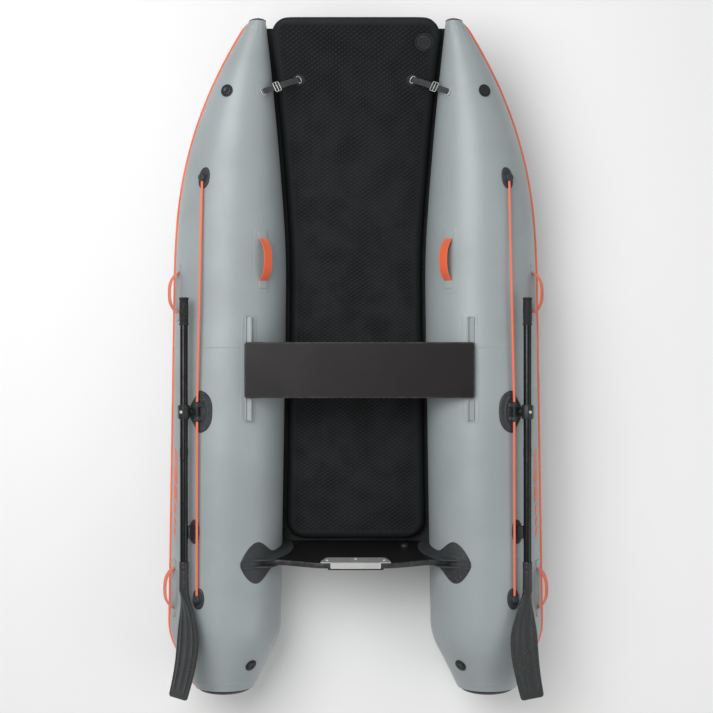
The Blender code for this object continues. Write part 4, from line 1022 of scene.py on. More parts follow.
def build_motor_fittings():
    """Folded aluminium plate with three bolts, the aft pad with shallow ribs and the drain valve."""
    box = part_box("motor_plate")
    half, high, low = box[1][0] - 0.0005, TRANSOM_TOP - 0.0004, box[0][2] + 0.001
    shape = rounded([(-half, high), (-half, high - 0.018), (-half + 0.020, low), (half - 0.020, low),
                     (half, high - 0.018), (half, high)], [0.0012, 0.012, 0.014, 0.014, 0.012, 0.0012])
    front = plate("motor_plate_face", resample(shape, 220), 0.0030, 0.0008, raked(-0.0034))
    tab = 0.095
    back = float(transom_front(high)) - TRANSOM_THICKNESS
    cover = oblong(-tab, back + 0.0006, tab, float(transom_front(high)) + 0.0034, 0.003)
    fold = plate("motor_plate_fold", resample(cover, 160), -0.0030, 0.0009,
                 lambda a, b, d: np.stack([a, b, TRANSOM_TOP + 0.0004 - d], axis=-1))
    finish_piece(join_pieces("motor_clamp_plate", [front, fold]), "bare_aluminium", nodes=["motor_plate"])

    rake = np.array([0, math.cos(TRANSOM_RAKE), math.sin(TRANSOM_RAKE)])
    axes = np.stack([[1, 0, 0], np.cross(rake, [1, 0, 0]), rake], axis=1)
    heads = []
    for number, (x, drop) in enumerate(((-0.108, 0.030), (0.0, 0.050), (0.108, 0.030))):
        z = TRANSOM_TOP - drop
        heads.append(bolt(f"plate_bolt_{number}", (x, float(transom_front(z)) + 0.0034, z), axes, 0.0058, 0.0040))
    finish_piece(join_pieces("motor_plate_bolts", heads), "bare_aluminium")

    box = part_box("motor_pad")
    wide, base = box[1][0], box[0][2]
    shape = rounded([(-wide, high), (-wide, base + 0.026), (-wide + 0.026, base), (wide - 0.026, base),
                     (wide, base + 0.026), (wide, high)], [0.004, 0.012, 0.016, 0.016, 0.012, 0.004])
    pad = plate("pad_body", resample(shape, 260), 0.0050, 0.0014, raked(TRANSOM_THICKNESS + LAY_GAP))
    ribs = [pad]
    for number, x in enumerate(np.linspace(-0.078, 0.078, 9)):
        rib = oblong(x - 0.0034, base + 0.024, x + 0.0034, high - 0.016, 0.003)
        ribs.append(plate(f"pad_rib_{number}", rib, 0.0018, 0.0007,
                          raked(TRANSOM_THICKNESS + LAY_GAP + 0.0042)))
    finish_piece(join_pieces("motor_clamp_pad", ribs), "black_plastic", nodes=["motor_pad"])

    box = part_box("drain_valve")
    x, z = (box[0][0] + box[1][0]) / 2, 0.200
    origin = (x, float(transom_front(z)) + LAY_GAP, z)
    body = turned("drain_body", [(0, 0.001), (0, 0.0186), (0.0022, 0.0190), (0.0030, 0.0178), (0.0032, 0.0150),
                                 (0.0092, 0.0144), (0.0112, 0.0132), (0.0118, 0.0110), (0.0110, 0.0090),
                                 (0.0106, 0.001)], origin, axes, 72,
                  wobble=knurl(0.020, 14, 0.0033, 0.0115))
    finish_piece(body, "black_plastic", nodes=["drain_valve"])


def holder_half(turn):
    """Half length of the rounded diamond pad: a sine out to -37 degrees, then an ease in to the flanges' foot."""
    share = np.sin(np.pi / 2 * ramp(-turn, 18.6, 37.0)) ** 0.75
    top = 0.004 + 0.074 * share
    fall = 1 - ramp(-turn, 37.0, 61.0)
    return np.where(turn > -37.0, top, 0.030 + 0.048 * fall * fall * (3 - 2 * fall))


def build_holder(label, side):
    """Rubber holder: pad and two flanges, a section of pad, fillet and lip carried down the tube."""
    turn = np.concatenate([np.linspace(-18.7, -22.0, 18), np.linspace(-22.4, -114.0, 116)])[:, None]
    half = holder_half(turn)
    narrow = np.minimum(1.0, half / 0.024)
    inner, outer = 0.0104 * narrow, 0.0164 * narrow
    rise = smooth(-turn, 27.0, 46.0) * (0.35 + 0.65 * ramp(-turn, 27.0, 46.0))
    flange = 0.005 + 0.040 * rise
    one = np.ones_like(turn)
    fillet = np.minimum(0.008, np.maximum(0.0, half - outer - 0.005 * narrow))
    steps = [(half - 0.0035 * narrow, 0.0021 * one), (outer + fillet, 0.0034 * one),
             (outer + fillet * 0.4, 0.0046 * one),
             (outer + 0.0012 * narrow, 0.0058 * one + 0.002 * rise),
             (outer, 0.005 + 0.25 * (flange - 0.005) + 0.003 * rise),
             (outer - 0.0002 * narrow, 0.6 * flange + 0.002),
             (outer - 0.0006 * narrow, flange - 0.0022 * rise - 0.0002),
             (outer - 0.0022 * narrow, flange), (inner + 0.0014 * narrow, flange),
             (inner, flange - 0.0014 * rise - 0.0002),
             (inner, 0.5 * (flange + 0.003)), (inner, 0.0030 * one)]
    along = np.concatenate([half, half] + [a for a, _ in steps] + [-a for a, _ in reversed(steps)] + [-half, -half]
                           + [-0.5 * half, 0.0 * half, 0.5 * half], axis=1)
    high = np.concatenate([0.0005 * one, 0.0014 * one] + [h for _, h in steps] + [h for _, h in reversed(steps)]
                          + [0.0014 * one, 0.0005 * one, 0.0005 * one, 0.0005 * one, 0.0005 * one], axis=1)
    flat = on_tube(side, TRANSOM_Y + 0 * along, turn + 0 * along, high)
    y = transom_front(flat[..., 2]) - TRANSOM_THICKNESS / 2 + along
    rings = on_tube(side, y, turn + 0 * along, high)
    holder = loft(f"{label}_transom_grip", rings, sharp=35.0)
    finish_piece(holder, "black_rubber", nodes=[f"{label}_transom_holder"])


# ------------------------------------------------------------------ seat
def build_seat():
    """Film-faced board with rounded corners and edges, and the sliders under it."""
    low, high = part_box("seat_board")
    middle = [(low[k] + high[k]) / 2 for k in range(2)]
    half = [(high[k] - low[k]) / 2 for k in range(2)]
    outline = resample(rounded_box_loop(half[0], half[1], 0.009, 9), 320) + middle
    board = plate("seat_panel", outline, high[2] - low[2], 0.0032,
                  lambda a, b, d: np.stack([a, b, high[2] - d], axis=-1), sharp=45.0,
                  inner=(0.15, 0.5, 0.8), rubbed=True)
    finish_piece(board, "seat_ply", body="seat", nodes=["seat_board"])
    for label in SIDES:
        low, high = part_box(f"{label}_seat_slider")
        outline = oblong(low[0], low[1], high[0], high[1], 0.003)
        slider = plate(f"{label}_seat_runner", resample(outline, 120), high[2] - low[2], 0.0006,
                       lambda a, b, d, top=high[2]: np.stack([a, b, top - d], axis=-1))
        finish_piece(slider, "black_plastic", body="seat", nodes=[f"{label}_seat_slider"])


def build_seat_rail(label, side):
    """Extruded rail: two rounded ridges and a channel over a foot that follows the tube; glued base strip."""
    low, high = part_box(f"{label}_seat_rail")
    middle, half, top = (low[0] + high[0]) / 2, (high[0] - low[0]) / 2, high[2]
    y = np.linspace(low[1], high[1], 60)[:, None]
    under_x = middle + np.linspace(-half, half, 12)[None]
    under_z = tube_z(y) + np.sqrt(tube_radius(y) ** 2 - (np.abs(under_x) - tube_x(y)) ** 2) + 0.0004
    t = np.linspace(0, np.pi, 9)
    ridge = np.stack([0.003 - 0.003 * np.cos(t), 0.003 * np.sin(t)], -1)
    right = np.stack([half - ridge[:, 0], top - 0.003 + ridge[:, 1]], -1)
    left = np.stack([-right[::-1, 0], right[::-1, 1]], -1)
    floor = np.array([[half - 0.006, top - 0.0078], [half - 0.0068, top - 0.008], [-half + 0.0068, top - 0.008],
                      [-half + 0.006, top - 0.0078]])
    upper = np.concatenate([right, floor, left])
    x = np.concatenate([under_x + 0 * y, middle + upper[None, :, 0] + 0 * y], axis=1)
    z = np.concatenate([under_z, upper[None, :, 1] + 0 * y], axis=1)
    rings = np.stack(np.broadcast_arrays(x, y, z), axis=-1)
    rail = loft(f"{label}_seat_track", rings, sharp=50.0)
    finish_piece(rail, "grey_pvc", nodes=[f"{label}_seat_rail"])
    spot = math.degrees(math.asin((abs(middle) - float(tube_x(-0.03))) / TUBE_RADIUS))
    base = pad_on_tube(f"{label}_seat_track_base", side, (low[1] + high[1]) / 2, spot,
                       oval((high[1] - low[1]) / 2 + 0.012, 0.031, 120, 9.0), pad_rows(0.0012, 0.0004), sharp=70.0)
    finish_piece(base, "grey_pvc")


# ------------------------------------------------------------------ handles, bow straps and grab lines

def build_handle(label, side, place):
    """Webbing grip: a rise h(1 - |y / l|^2.8) between slots, its feet sealed under raised pads of tube fabric."""
    degrees, middle = HANDLES[place]
    half = 0.0785
    along = np.linspace(-half, half, 120)
    high = 0.0020 + Hull.sizes.handle_rise * (1 - np.abs(along / half) ** 2.8)
    path = on_tube(side, middle + along, degrees, high)
    across = on_tube(side, middle + along, degrees, 0, 1.0) - on_tube(side, middle + along, degrees)
    grip = strap(f"{label}_{place}_grip", path, across, Hull.sizes.tape_width, 0.0030)
    finish_piece(grip, "orange_webbing", nodes=[f"{label}_{place}_handle"])
    for end, sign in (("fore", 1), ("aft", -1)):
        cover = pad_on_tube(f"{label}_{place}_{end}_cover", side, middle + sign * (half + 0.0145), degrees,
                            oval(0.0155, 0.0195, 64, 6.0), pad_rows(0.0036, 0.0012, crown=0.0003), sharp=60.0)
        finish_piece(cover, "grey_pvc")


def build_bow_strap(label, side):
    """Tension strap from a ring on the tube to a ring on the deck, with a bar buckle a third of the way."""
    top = on_tube(side, BOW_RING[1], BOW_RING[0], 0.0075)
    x, y = side * 0.217, 1.072
    foot = np.array([x, y, float(mat_bottom(y)) + MAT_THICKNESS + 0.0135])
    run = foot - top
    length = np.linalg.norm(run)
    across = np.cross(run, [0, 0, 1])
    across /= np.linalg.norm(across)
    lift = np.cross(across, run) / length
    lift *= np.sign(lift[2])
    share = np.linspace(0, 1, 90)
    hump = 0.0035 * bell(share, 0.36, 0.07)
    path = top + run * share[:, None] + lift * (hump + 0.0015)[:, None]
    webs = [strap("web_run", path, np.tile(across, (90, 1)), 0.022, 0.0022)]
    back = np.linspace(0.44, 0.80, 50)
    tail = top + run * back[:, None] + lift * (0.0042 + 0.003 * np.sin(np.pi * (back - 0.44) / 0.36))[:, None]
    webs.append(strap("web_tail", tail, np.tile(across, (50, 1)), 0.022, 0.0020))
    finish_piece(join_pieces(f"{label}_bow_tension_strap", webs), "black_webbing", nodes=[f"{label}_bow_strap"])

    loop = rounded_box_loop(0.0175, 0.0125, 0.004, 7)
    middle = top + run * 0.36 + lift * 0.0055
    ahead = run / length
    ring = middle + across * loop[:, [0]] + ahead * loop[:, [1]]
    frame = bent_ring("buckle_frame", ring, 0.0015, 14)
    bar = turned("buckle_bar", [(-0.0170, 0.0005), (-0.0170, 0.0016), (0.0170, 0.0016), (0.0170, 0.0005)],
                 middle, np.stack([ahead, np.cross(across, ahead), across], axis=1), 20)
    rings = [frame, bar]
    for spot in (top - lift * 0.001, foot - lift * 0.001):
        hoop = spot + across * (circle(48)[:, [0]] * 0.0140) + ahead * (circle(48)[:, [1]] * 0.0100)
        rings.append(bent_ring("strap_ring", hoop, 0.0017, 12))
    finish_piece(join_pieces(f"{label}_bow_strap_metal", rings), "bare_aluminium")
    patch = pad_on_tube(f"{label}_bow_ring_patch", side, BOW_RING[1], BOW_RING[0], oval(0.030, 0.028, 72, 2.2),
                        pad_rows(0.0012, 0.0005), sharp=60.0)
    finish_piece(patch, "grey_pvc")
    ground = np.array([x, y, float(mat_bottom(y)) + MAT_THICKNESS + 0.0008])
    deck = turned(f"{label}_deck_ring_patch", [(0, 0.001), (0, 0.0225), (0.0006, 0.0230), (0.0012, 0.0222),
                                               (0.0016, 0.0090), (0.0052, 0.0070), (0.0060, 0.0055), (0.0062, 0.001)],
                  ground, deck_axes(y), 64)
    finish_piece(deck, "black_pvc")


def build_rope_eye(label, side, place):
    """Rope eye: oval rubber pad with a raised rim and a waisted boss with a rolled top."""
    degrees, middle = EYES[place]
    pad = pad_on_tube("eye_pad", side, middle, degrees, oval(0.040, 0.024, 96, 2.2),
                      pad_rows(0.0042, 0.0012, crown=0.0012, rings=16),
                      relief=lambda a, b: 0.0012 * bell(np.hypot(a / 0.040, b / 0.024), 0.80, 0.07))
    spot, axes = tube_frame(side, middle, degrees)
    boss = turned("eye_boss", [(0.002, 0.001), (0.002, 0.0185), (0.0048, 0.0172), (0.0078, 0.0150),
                               (0.0115, 0.0138), (0.0160, 0.0136), (0.0200, 0.0140), (0.0224, 0.0130),
                               (0.0238, 0.0108), (0.0240, 0.0070), (0.0230, 0.0055), (0.0228, 0.001)],
                  spot, axes, 64)
    finish_piece(join_pieces(f"{label}_{place}_line_eye", [pad, boss]), "black_rubber",
                 nodes=[f"{label}_{place}_rope_eye"])


def build_grab_line(label, side, place):
    """Taut braided line from an eye's boss to an oarlock lug: crowns where cos(4t + k s) or cos(4t - k s) peaks."""
    axes, origin = lock_frame(side)
    sign = 1 if place == "front" else -1
    degrees, middle = EYES[place]
    eye = on_tube(side, middle, degrees, 0.0132)
    lug = origin + axes @ np.array([0, sign * 0.0344, HINGE_HEIGHT])
    toward = (lug - eye) / np.linalg.norm(lug - eye)
    start = eye + toward * 0.0125
    length = np.linalg.norm(lug - start)
    count = int(length / 0.0011)
    s = np.linspace(0, 1, count)
    path = start + (lug - start) * s[:, None]
    unit = circle(28)
    t = np.linspace(0, 2 * np.pi, 28, endpoint=False)
    lay = (s * length)[:, None] * 2 * np.pi / 0.0125
    # crown lifts the strands' radius and also sets the painted shade in the braid's hollows
    crown = np.clip(np.maximum(np.cos(4 * t + lay), np.cos(4 * t - lay)), 0, 1)
    radius = Hull.sizes.line_radius * (0.90 + 0.10 * crown)
    wide = np.cross(toward, [0, 0, 1.0])
    wide /= np.linalg.norm(wide)
    up = np.cross(wide, toward)
    rings = (path[:, None] + wide * (unit[None, :, 0] * radius)[..., None]
             + up * (unit[None, :, 1] * radius)[..., None])
    line = loft(f"{label}_{place}_safety_line", rings, sharp=70.0, marks={"crown": crown})
    finish_piece(line, "orange_rope", nodes=[f"{label}_{place}_grab_line"])


# ------------------------------------------------------------------ oarlocks and oars
def lengthwise(axes):
    """The oarlock's columns turned so that the third runs along Y."""
    return np.stack([axes[:, 0], -axes[:, 2], axes[:, 1]], axis=1)


def prism_in_lock(name, outline, low, high, rounding, axes, origin):
    """Body of an (out, up) outline between two places along Y, in the oarlock's frame."""
    place = (lambda a, b, d: origin + np.stack([a, low + d, b], axis=-1) @ axes.T)
    return plate(name, resample(outline, 200), high - low, rounding, place)


def build_oarlock_base(label, side):
    """D-shaped rubber base with a raised rim and an arc-shaped ridge, two lugs and their hinge pin."""
    axes, origin = lock_frame(side)
    s = np.sin(np.linspace(-np.pi / 2, np.pi / 2, 60))
    reach = math.radians(14.0) * TUBE_RADIUS
    inboard = -reach * np.sqrt(np.maximum(0.05, 1 - np.abs(s) ** 2.6))
    outboard = reach * np.maximum(0.16, 1 - np.abs(s) ** 1.3)
    outline = np.concatenate([np.stack([s * 0.079, outboard], -1), np.stack([s[::-1] * 0.079, inboard[::-1]], -1)])
    outline = resample(outline, 180)

    def relief(along, across):
        span = np.abs(along) / 0.079
        limit = np.where(across < 0, reach * np.sqrt(np.maximum(0.05, 1 - np.minimum(span, 1) ** 2.6)),
                         reach * np.maximum(0.16, 1 - np.minimum(span, 1) ** 1.3))
        near = np.maximum(np.abs(across) / limit, span)
        rim = 0.0014 * bell(near, 0.84, 0.055)
        arc = 0.0042 * bell(np.hypot(along * 0.62, across - 0.012), 0.041, 0.0022) * (across < -0.010)
        stud = 0.0030 * (1 - smooth(np.hypot(along, across + 0.041), 0.0028, 0.0042))
        return rim + arc + stud

    pad = pad_on_tube("lock_pad", side, LOCK_Y, LOCK_ANGLE, outline,
                      pad_rows(0.0052, 0.0016, crown=0.0004, rings=34), relief=relief)
    parts = [pad]
    turn = np.radians(np.linspace(8, 172, 26))
    round_top = np.stack([0.010 * np.cos(turn), HINGE_HEIGHT + 0.010 * np.sin(turn)], -1)
    shape = np.concatenate([[[0.020, 0.0030], [0.0165, 0.0070], [0.0125, 0.0110]], round_top,
                            [[-0.0125, 0.0110], [-0.0165, 0.0070], [-0.020, 0.0030]]])
    for low in (0.0172, -0.0338):
        parts.append(prism_in_lock("lug", shape, low, low + 0.0166, 0.0022, axes, origin))
    along_y = lengthwise(axes)
    hinge = origin + axes[:, 2] * HINGE_HEIGHT
    for low in (-0.0375, 0.0330):
        parts.append(turned("pin_end", [(low, 0.001), (low, 0.0052), (low + 0.0010, 0.0062), (low + 0.0035, 0.0062),
                                        (low + 0.0045, 0.0052), (low + 0.0045, 0.001)], hinge, along_y, 32))
    parts.append(turned("hinge_pin", [(-0.021, 0.0005), (-0.021, 0.0038), (0.021, 0.0038), (0.021, 0.0005)],
                        hinge, along_y, 24))
    finish_piece(join_pieces(f"{label}_oarlock_mount", parts), "black_rubber", nodes=[f"{label}_oarlock_base"])


def build_oarlock_arm(label, side):
    """Swinging arm: a ringed spool on the hinge, a waisted bar and a stepped boss for the swivel."""
    axes, origin = lock_frame(side)
    along_y = lengthwise(axes)
    hinge = origin + axes[:, 2] * HINGE_HEIGHT
    r = 0.0085
    spool = turned("spool", [(-0.0164, 0.0045), (-0.0164, r), (-0.0150, r + 0.0006), (-0.0120, r + 0.0006),
                             (-0.0108, r - 0.0012), (-0.0062, r - 0.0012), (-0.0052, r + 0.0008),
                             (-0.0026, r + 0.0008), (-0.0016, r - 0.0012), (0.0016, r - 0.0012),
                             (0.0026, r + 0.0008), (0.0052, r + 0.0008), (0.0062, r - 0.0012),
                             (0.0108, r - 0.0012), (0.0120, r + 0.0006), (0.0150, r + 0.0006), (0.0164, r),
                             (0.0164, 0.0045)], hinge, along_y, 56)
    waist = rounded([(0.004, -0.014), (0.016, -0.0105), (ARM_REACH, -0.014), (ARM_REACH + 0.010, -0.006),
                     (ARM_REACH + 0.010, 0.006), (ARM_REACH, 0.014), (0.016, 0.0105), (0.004, 0.014)], 0.003)
    bar = plate("arm_bar", resample(waist, 200), -0.010, 0.0022,
                lambda a, b, d: origin + np.stack([a, b, 0.0105 - d], axis=-1) @ axes.T)
    boss = turned("arm_boss", [(0.0100, 0.001), (0.0100, 0.0160), (0.0112, 0.0170), (0.0205, 0.0170),
                               (0.0218, 0.0160), (0.0222, 0.0148), (0.0250, 0.0144), (0.0260, 0.0132),
                               (0.0262, 0.001)], origin + axes[:, 0] * ARM_REACH, axes, 64)
    finish_piece(join_pieces(f"{label}_lock_arm", [spool, bar, boss]), "black_plastic",
                 body=f"{label}_oarlock_arm", nodes=[f"{label}_oarlock_arm"])


def shaft_line(side):
    """The shaft's axis at the oarlock, and the columns out, up and along Y."""
    axes, origin = lock_frame(side)
    return origin + axes[:, 0] * ARM_REACH + axes[:, 2] * SHAFT_HEIGHT, axes


def build_collar(label, side):
    """Swivel collar: an eight-sided clamp with a pointed outboard flank, two end beads and a post."""
    middle, axes = shaft_line(side)
    along_y = lengthwise(axes)
    turn = np.radians(np.arange(8) * 45 + 22.5)
    sides = np.stack([np.cos(turn), np.sin(turn)], -1) * 0.0222
    sides[0] = (0.0245, 0.0065)
    sides[7] = (0.0245, -0.0065)
    shape = rounded(sides, 0.0035)
    place = (lambda a, b, d: middle + np.stack([a, -0.025 + d, b], axis=-1) @ axes.T)
    parts = [plate("collar_shell", resample(shape, 200), 0.050, 0.0028, place)]
    for low in (-0.0272, 0.0222):
        parts.append(turned("collar_bead", [(low, 0.0140), (low, 0.0180), (low + 0.0014, 0.0196),
                                            (low + 0.0036, 0.0196), (low + 0.0050, 0.0180), (low + 0.0050, 0.0140)],
                            middle, along_y, 56))
    foot = middle - axes[:, 2] * SHAFT_HEIGHT
    parts.append(turned("collar_post", [(0.0160, 0.001), (0.0160, 0.0048), (0.0266, 0.0048), (0.0268, 0.0112),
                                        (0.0278, 0.0122), (0.0320, 0.0122), (0.0345, 0.0135), (0.0380, 0.0140),
                                        (0.0380, 0.001)], foot, axes, 48))
    finish_piece(join_pieces(f"{label}_swivel_collar", parts), "black_plastic", body=f"{label}_oar",
                 nodes=[f"{label}_oar_collar"])
    seat = middle + axes[:, 2] * 0.0200
    rivet = turned(f"{label}_collar_rivet", [(0.0, 0.001), (0.0, 0.0062), (0.0012, 0.0064), (0.0026, 0.0052),
                                             (0.0033, 0.0030), (0.0034, 0.001)], seat, axes, 32)
    finish_piece(rivet, "bare_aluminium", body=f"{label}_oar")


def build_shaft(label, side):
    """Anodised tube with a join ferrule and a spring button, and the ribbed grip with end flanges."""
    middle, _ = shaft_line(side)
    along_y = np.array([[1.0, 0, 0], [0, 0, 1.0], [0, 1.0, 0]])
    start = np.array([middle[0], 0.0, middle[2]])
    r = SHAFT_RADIUS
    back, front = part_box(f"{label}_oar_shaft")[0][1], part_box(f"{label}_oar_shaft")[1][1]
    profile = [(back, 0.001), (back, r)]
    profile += [(y, r) for y in np.linspace(back + 0.05, -0.362, 6)]
    profile += [(-0.3604, r), (-0.3600, r + 0.0009), (-0.3280, r + 0.0009), (-0.3276, r)]
    profile += [(y, r) for y in np.linspace(-0.30, front - 0.01, 8)] + [(front, r), (front, 0.001)]
    shaft = turned("shaft_tube", profile, start, along_y, 64)
    button = turned("shaft_button", [(0.0140, 0.001), (0.0140, 0.0034), (0.0168, 0.0032), (0.0176, 0.0022),
                                     (0.0178, 0.001)], (middle[0], -0.375, middle[2]), np.eye(3), 24)
    finish_piece(join_pieces(f"{label}_shaft", [shaft, button]), "black_anodised", body=f"{label}_oar",
                 nodes=[f"{label}_oar_shaft"])
    low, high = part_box(f"{label}_oar_grip")[0][1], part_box(f"{label}_oar_grip")[1][1]
    y = np.linspace(low + 0.007, high - 0.009, 150)
    t = (y - low) / (high - low)
    ribs = 0.0163 + 0.0008 * np.sign(np.sin(2 * np.pi * y / 0.0062)) * np.abs(np.sin(2 * np.pi * y / 0.0062)) ** 0.4 \
        + 0.0009 * np.sin(np.pi * t) ** 2
    profile = [(low, 0.001), (low, 0.0176), (low + 0.0012, 0.0185), (low + 0.0048, 0.0185), (low + 0.0060, 0.0172)]
    profile += list(zip(y, ribs))
    profile += [(high - 0.0080, 0.0172), (high - 0.0068, 0.0185), (high - 0.0032, 0.0185), (high - 0.0012, 0.0168),
                (high - 0.0002, 0.0120), (high, 0.0080), (high, 0.001)]
    grip = turned(f"{label}_hand_grip", profile, start, along_y, 56, sharp=50.0)
    finish_piece(grip, "grip_rubber", body=f"{label}_oar", nodes=[f"{label}_oar_grip"])


def build_blade(label, side):
    """Spoon blade: superellipse sections from a round socket, with three raised ribs that follow the outline.

    The middle of the blade bends by rise s^2 - belly sin(pi s) along its face.
    """
    middle, _ = shaft_line(side)
    tilt = math.radians(BLADE_TILT[label])
    flat = np.array([side * math.cos(tilt), 0, -math.sin(tilt)])
    face = np.array([side * math.sin(tilt), 0, math.cos(tilt)])
    low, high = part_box(f"{label}_oar_blade")[0][1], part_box(f"{label}_oar_blade")[1][1]
    neck = -0.862
    collar_y = high - np.array([0.0, 0.0008, 0.003, 0.012, 0.014, 0.016, 0.030, 0.032, 0.034, 0.05, 0.065, 0.08, 0.095])
    collar_r = np.array([0.0158, 0.0176, 0.0182, 0.0182, 0.0176, 0.0182, 0.0182, 0.0172, 0.0176, 0.0178, 0.0180,
                         0.0181, 0.0182])
    s = 1 - (1 - np.linspace(0, 1, 150)) ** 1.15
    y = np.concatenate([collar_y, neck + (low - neck) * s])
    s = np.concatenate([np.zeros(len(collar_y)), s])
    swell = np.sin(np.pi / 2 * np.minimum(1.0, s / 0.5)) ** 1.5
    full = 0.0705 - 0.0115 * ramp(s, 0.6, 1.0)
    half = 0.0182 + (full - 0.0182) * swell
    half[:len(collar_r)] = collar_r
    corner = 0.011
    end = np.clip((y - low), 0, corner)
    half = half - (corner - np.sqrt(corner ** 2 - (corner - end) ** 2)) * (s > 0)
    thick = 0.0036 + (0.0182 - 0.0036) * (1 - ramp(s, 0, 0.35)) ** 2
    thick[:len(collar_r)] = collar_r
    thick = thick - 0.0020 * (1 - ramp(y, low, low + 0.008))
    power = 2.0 + 1.4 * smooth(s, 0.02, 0.3)
    t = np.linspace(0, 2 * np.pi, 144, endpoint=False)
    a = np.sign(np.cos(t)) * np.abs(np.cos(t)) ** (2 / power[:, None])
    b = np.sign(np.sin(t)) * np.abs(np.sin(t)) ** (2 / power[:, None])
    grow = smooth(s, 0.06, 0.30)[:, None] * (1 - smooth(s, 0.86, 0.97))[:, None]
    ribs = sum(bell(a, at, wide) for at, wide in ((-0.56, 0.075), (0.0, 0.10), (0.56, 0.075)))
    rim = bell(np.abs(a), 0.90, 0.05) * smooth(s, 0.15, 0.35)[:, None]
    lift = np.sign(b) * np.minimum(1, np.abs(b) * 3) * (Hull.sizes.blade_ribs * ribs * grow + 0.0014 * rim)
    bend = 0.028 * s ** 2 - 0.024 * np.sin(np.pi * s)
    spine = np.stack([np.full(len(y), middle[0]), y, np.full(len(y), middle[2])], -1) + face * bend[:, None]
    rings = spine[:, None] + flat * (a * half[:, None])[..., None] + face * (b * thick[:, None] + lift)[..., None]
    blade = loft(f"{label}_spoon_blade", rings, sharp=45.0)
    finish_piece(blade, "blade_plastic", body=f"{label}_oar", nodes=[f"{label}_oar_blade"])


def build_clip(label, side):
    """Stowing saddle: an oval rubber pad and a cradle open upwards, thickened at its lip."""
    middle, _ = shaft_line(side)
    clip_y = (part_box(f"{label}_oar_clip")[0][1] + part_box(f"{label}_oar_clip")[1][1]) / 2
    axis = np.array([middle[0], clip_y, middle[2]])
    centre = np.array([side * float(tube_x(clip_y)), clip_y, float(tube_z(clip_y))])
    up = axis - centre
    rise = np.linalg.norm(up)
    up = up / rise
    out = np.array([side * up[2], 0, -side * up[0]])
    degrees = math.degrees(math.atan2(side * up[0], up[2]))
    pad = pad_on_tube("clip_pad", side, clip_y, degrees - 3, oval(0.046, math.radians(6.0) * TUBE_RADIUS, 96, 2.2),
                      pad_rows(0.0042, 0.0012, crown=0.0006, rings=14),
                      relief=lambda a, b: 0.0010 * bell(np.hypot(a / 0.046, b / 0.0225), 0.82, 0.06))
    near, wall, surface = 0.0164, 0.006, float(tube_radius(clip_y)) - rise
    inner = np.radians(np.linspace(-90, -145, 24))
    outer = np.radians(np.linspace(-145, -110, 18))
    shape = np.concatenate([np.stack([np.cos(inner), np.sin(inner)], -1) * near,
                            np.stack([np.cos(outer), np.sin(outer)], -1) * (near + wall),
                            [[-0.013, surface + 0.002], [0.008, surface + 0.002], [0.006, -near - 0.006],
                             [0.003, -near]]])
    axes = np.stack([out, [0, 1, 0], up], axis=1)
    saddle = plate("clip_cradle", resample(shape, 220), 0.045, 0.0016,
                   lambda a, b, d: axis + np.stack([a, -0.0225 + d, b], axis=-1) @ axes.T, inner=(0.97,))
    finish_piece(join_pieces(f"{label}_stowing_clip", [pad, saddle]), "black_rubber", nodes=[f"{label}_oar_clip"])


# ------------------------------------------------------------------ stage
def soft_light(name, place, target, size, power):
    """Square area light at a place, looking at a target."""
    data = bpy.data.lights.new(name, "AREA")
    data.shape = "SQUARE"
    data.size = size
    data.energy = power
    made = bpy.data.objects.new(name, data)
    bpy.context.scene.collection.objects.link(made)
    made.location = place
    made.rotation_euler = (Vector(target) - Vector(place)).to_track_quat("-Z", "Y").to_euler()


def build_stage(look):
    """Pale floor, soft overhead light with a softer fill, and the camera straight above the boat."""
    side = 30.0
    x, y = np.meshgrid(np.linspace(-side, side, 9), np.linspace(-side, side, 9), indexing="ij")
    points = np.stack([x.ravel(), y.ravel(), np.zeros(x.size)], axis=-1)
    index = np.arange(81).reshape(9, 9)
    faces = np.stack([index[:-1, :-1], index[1:, :-1], index[1:, 1:], index[:-1, 1:]], axis=-1).reshape(-1, 4)
    floor = put_mesh("pale_floor", points, faces)
    material = bpy.data.materials.new("pale_floor")
    material.use_nodes = True
    tree = material.node_tree
    shader = tree.nodes["Principled BSDF"]
    shader.inputs["Roughness"].default_value = 0.85
    shader.inputs["Specular IOR Level"].default_value = 0.1
    place = object_place(tree)
    blend = mix_colours(tree, noise(tree, place, 1.3, 4.0), tuple(look.floor), scaled(look.floor, 0.97))
    tree.links.new(blend, shader.inputs["Base Color"])
    floor.data.materials.append(material)

    soft_light("overhead_softbox", (-1.6, 1.2, 4.2), (0.0, 0.0, 0.3), 3.2, look.key_power)
    soft_light("starboard_fill", (3.4, -1.4, 2.6), (0.0, 0.0, 0.3), 3.0, look.fill_power)
    soft_light("bow_fill", (0.4, 4.4, 2.2), (0.0, 0.2, 0.3), 2.6, look.fill_power * 0.6)
    soft_light("stern_fill", (-0.6, -4.6, 2.4), (0.0, -0.4, 0.3), 2.6, look.fill_power * 0.6)
    world = bpy.data.worlds.new("studio_air")
    world.use_nodes = True
    world.node_tree.nodes["Background"].inputs["Color"].default_value = (1.0, 1.0, 1.0, 1)
    world.node_tree.nodes["Background"].inputs["Strength"].default_value = look.air
    bpy.context.scene.world = world

    data = bpy.data.cameras.new("overhead_camera")
    data.sensor_width = 36.0
    data.lens = look.lens
    data.clip_end = 100.0
    camera = bpy.data.objects.new("overhead_camera", data)
    bpy.context.scene.collection.objects.link(camera)
    camera.location = (0.003, 0.015, look.camera_height)
    camera.rotation_euler = (0.0, 0.0, 0.0)
    bpy.context.scene.camera = camera
    bpy.context.scene.view_settings.view_transform = "Standard"


# ------------------------------------------------------------------ add-on
def colour_property(name, description, default):
    """A colour in linear light."""
    return bpy.props.FloatVectorProperty(name=name, description=description, subtype="COLOR", size=3,
                                         min=0, max=1, default=default)


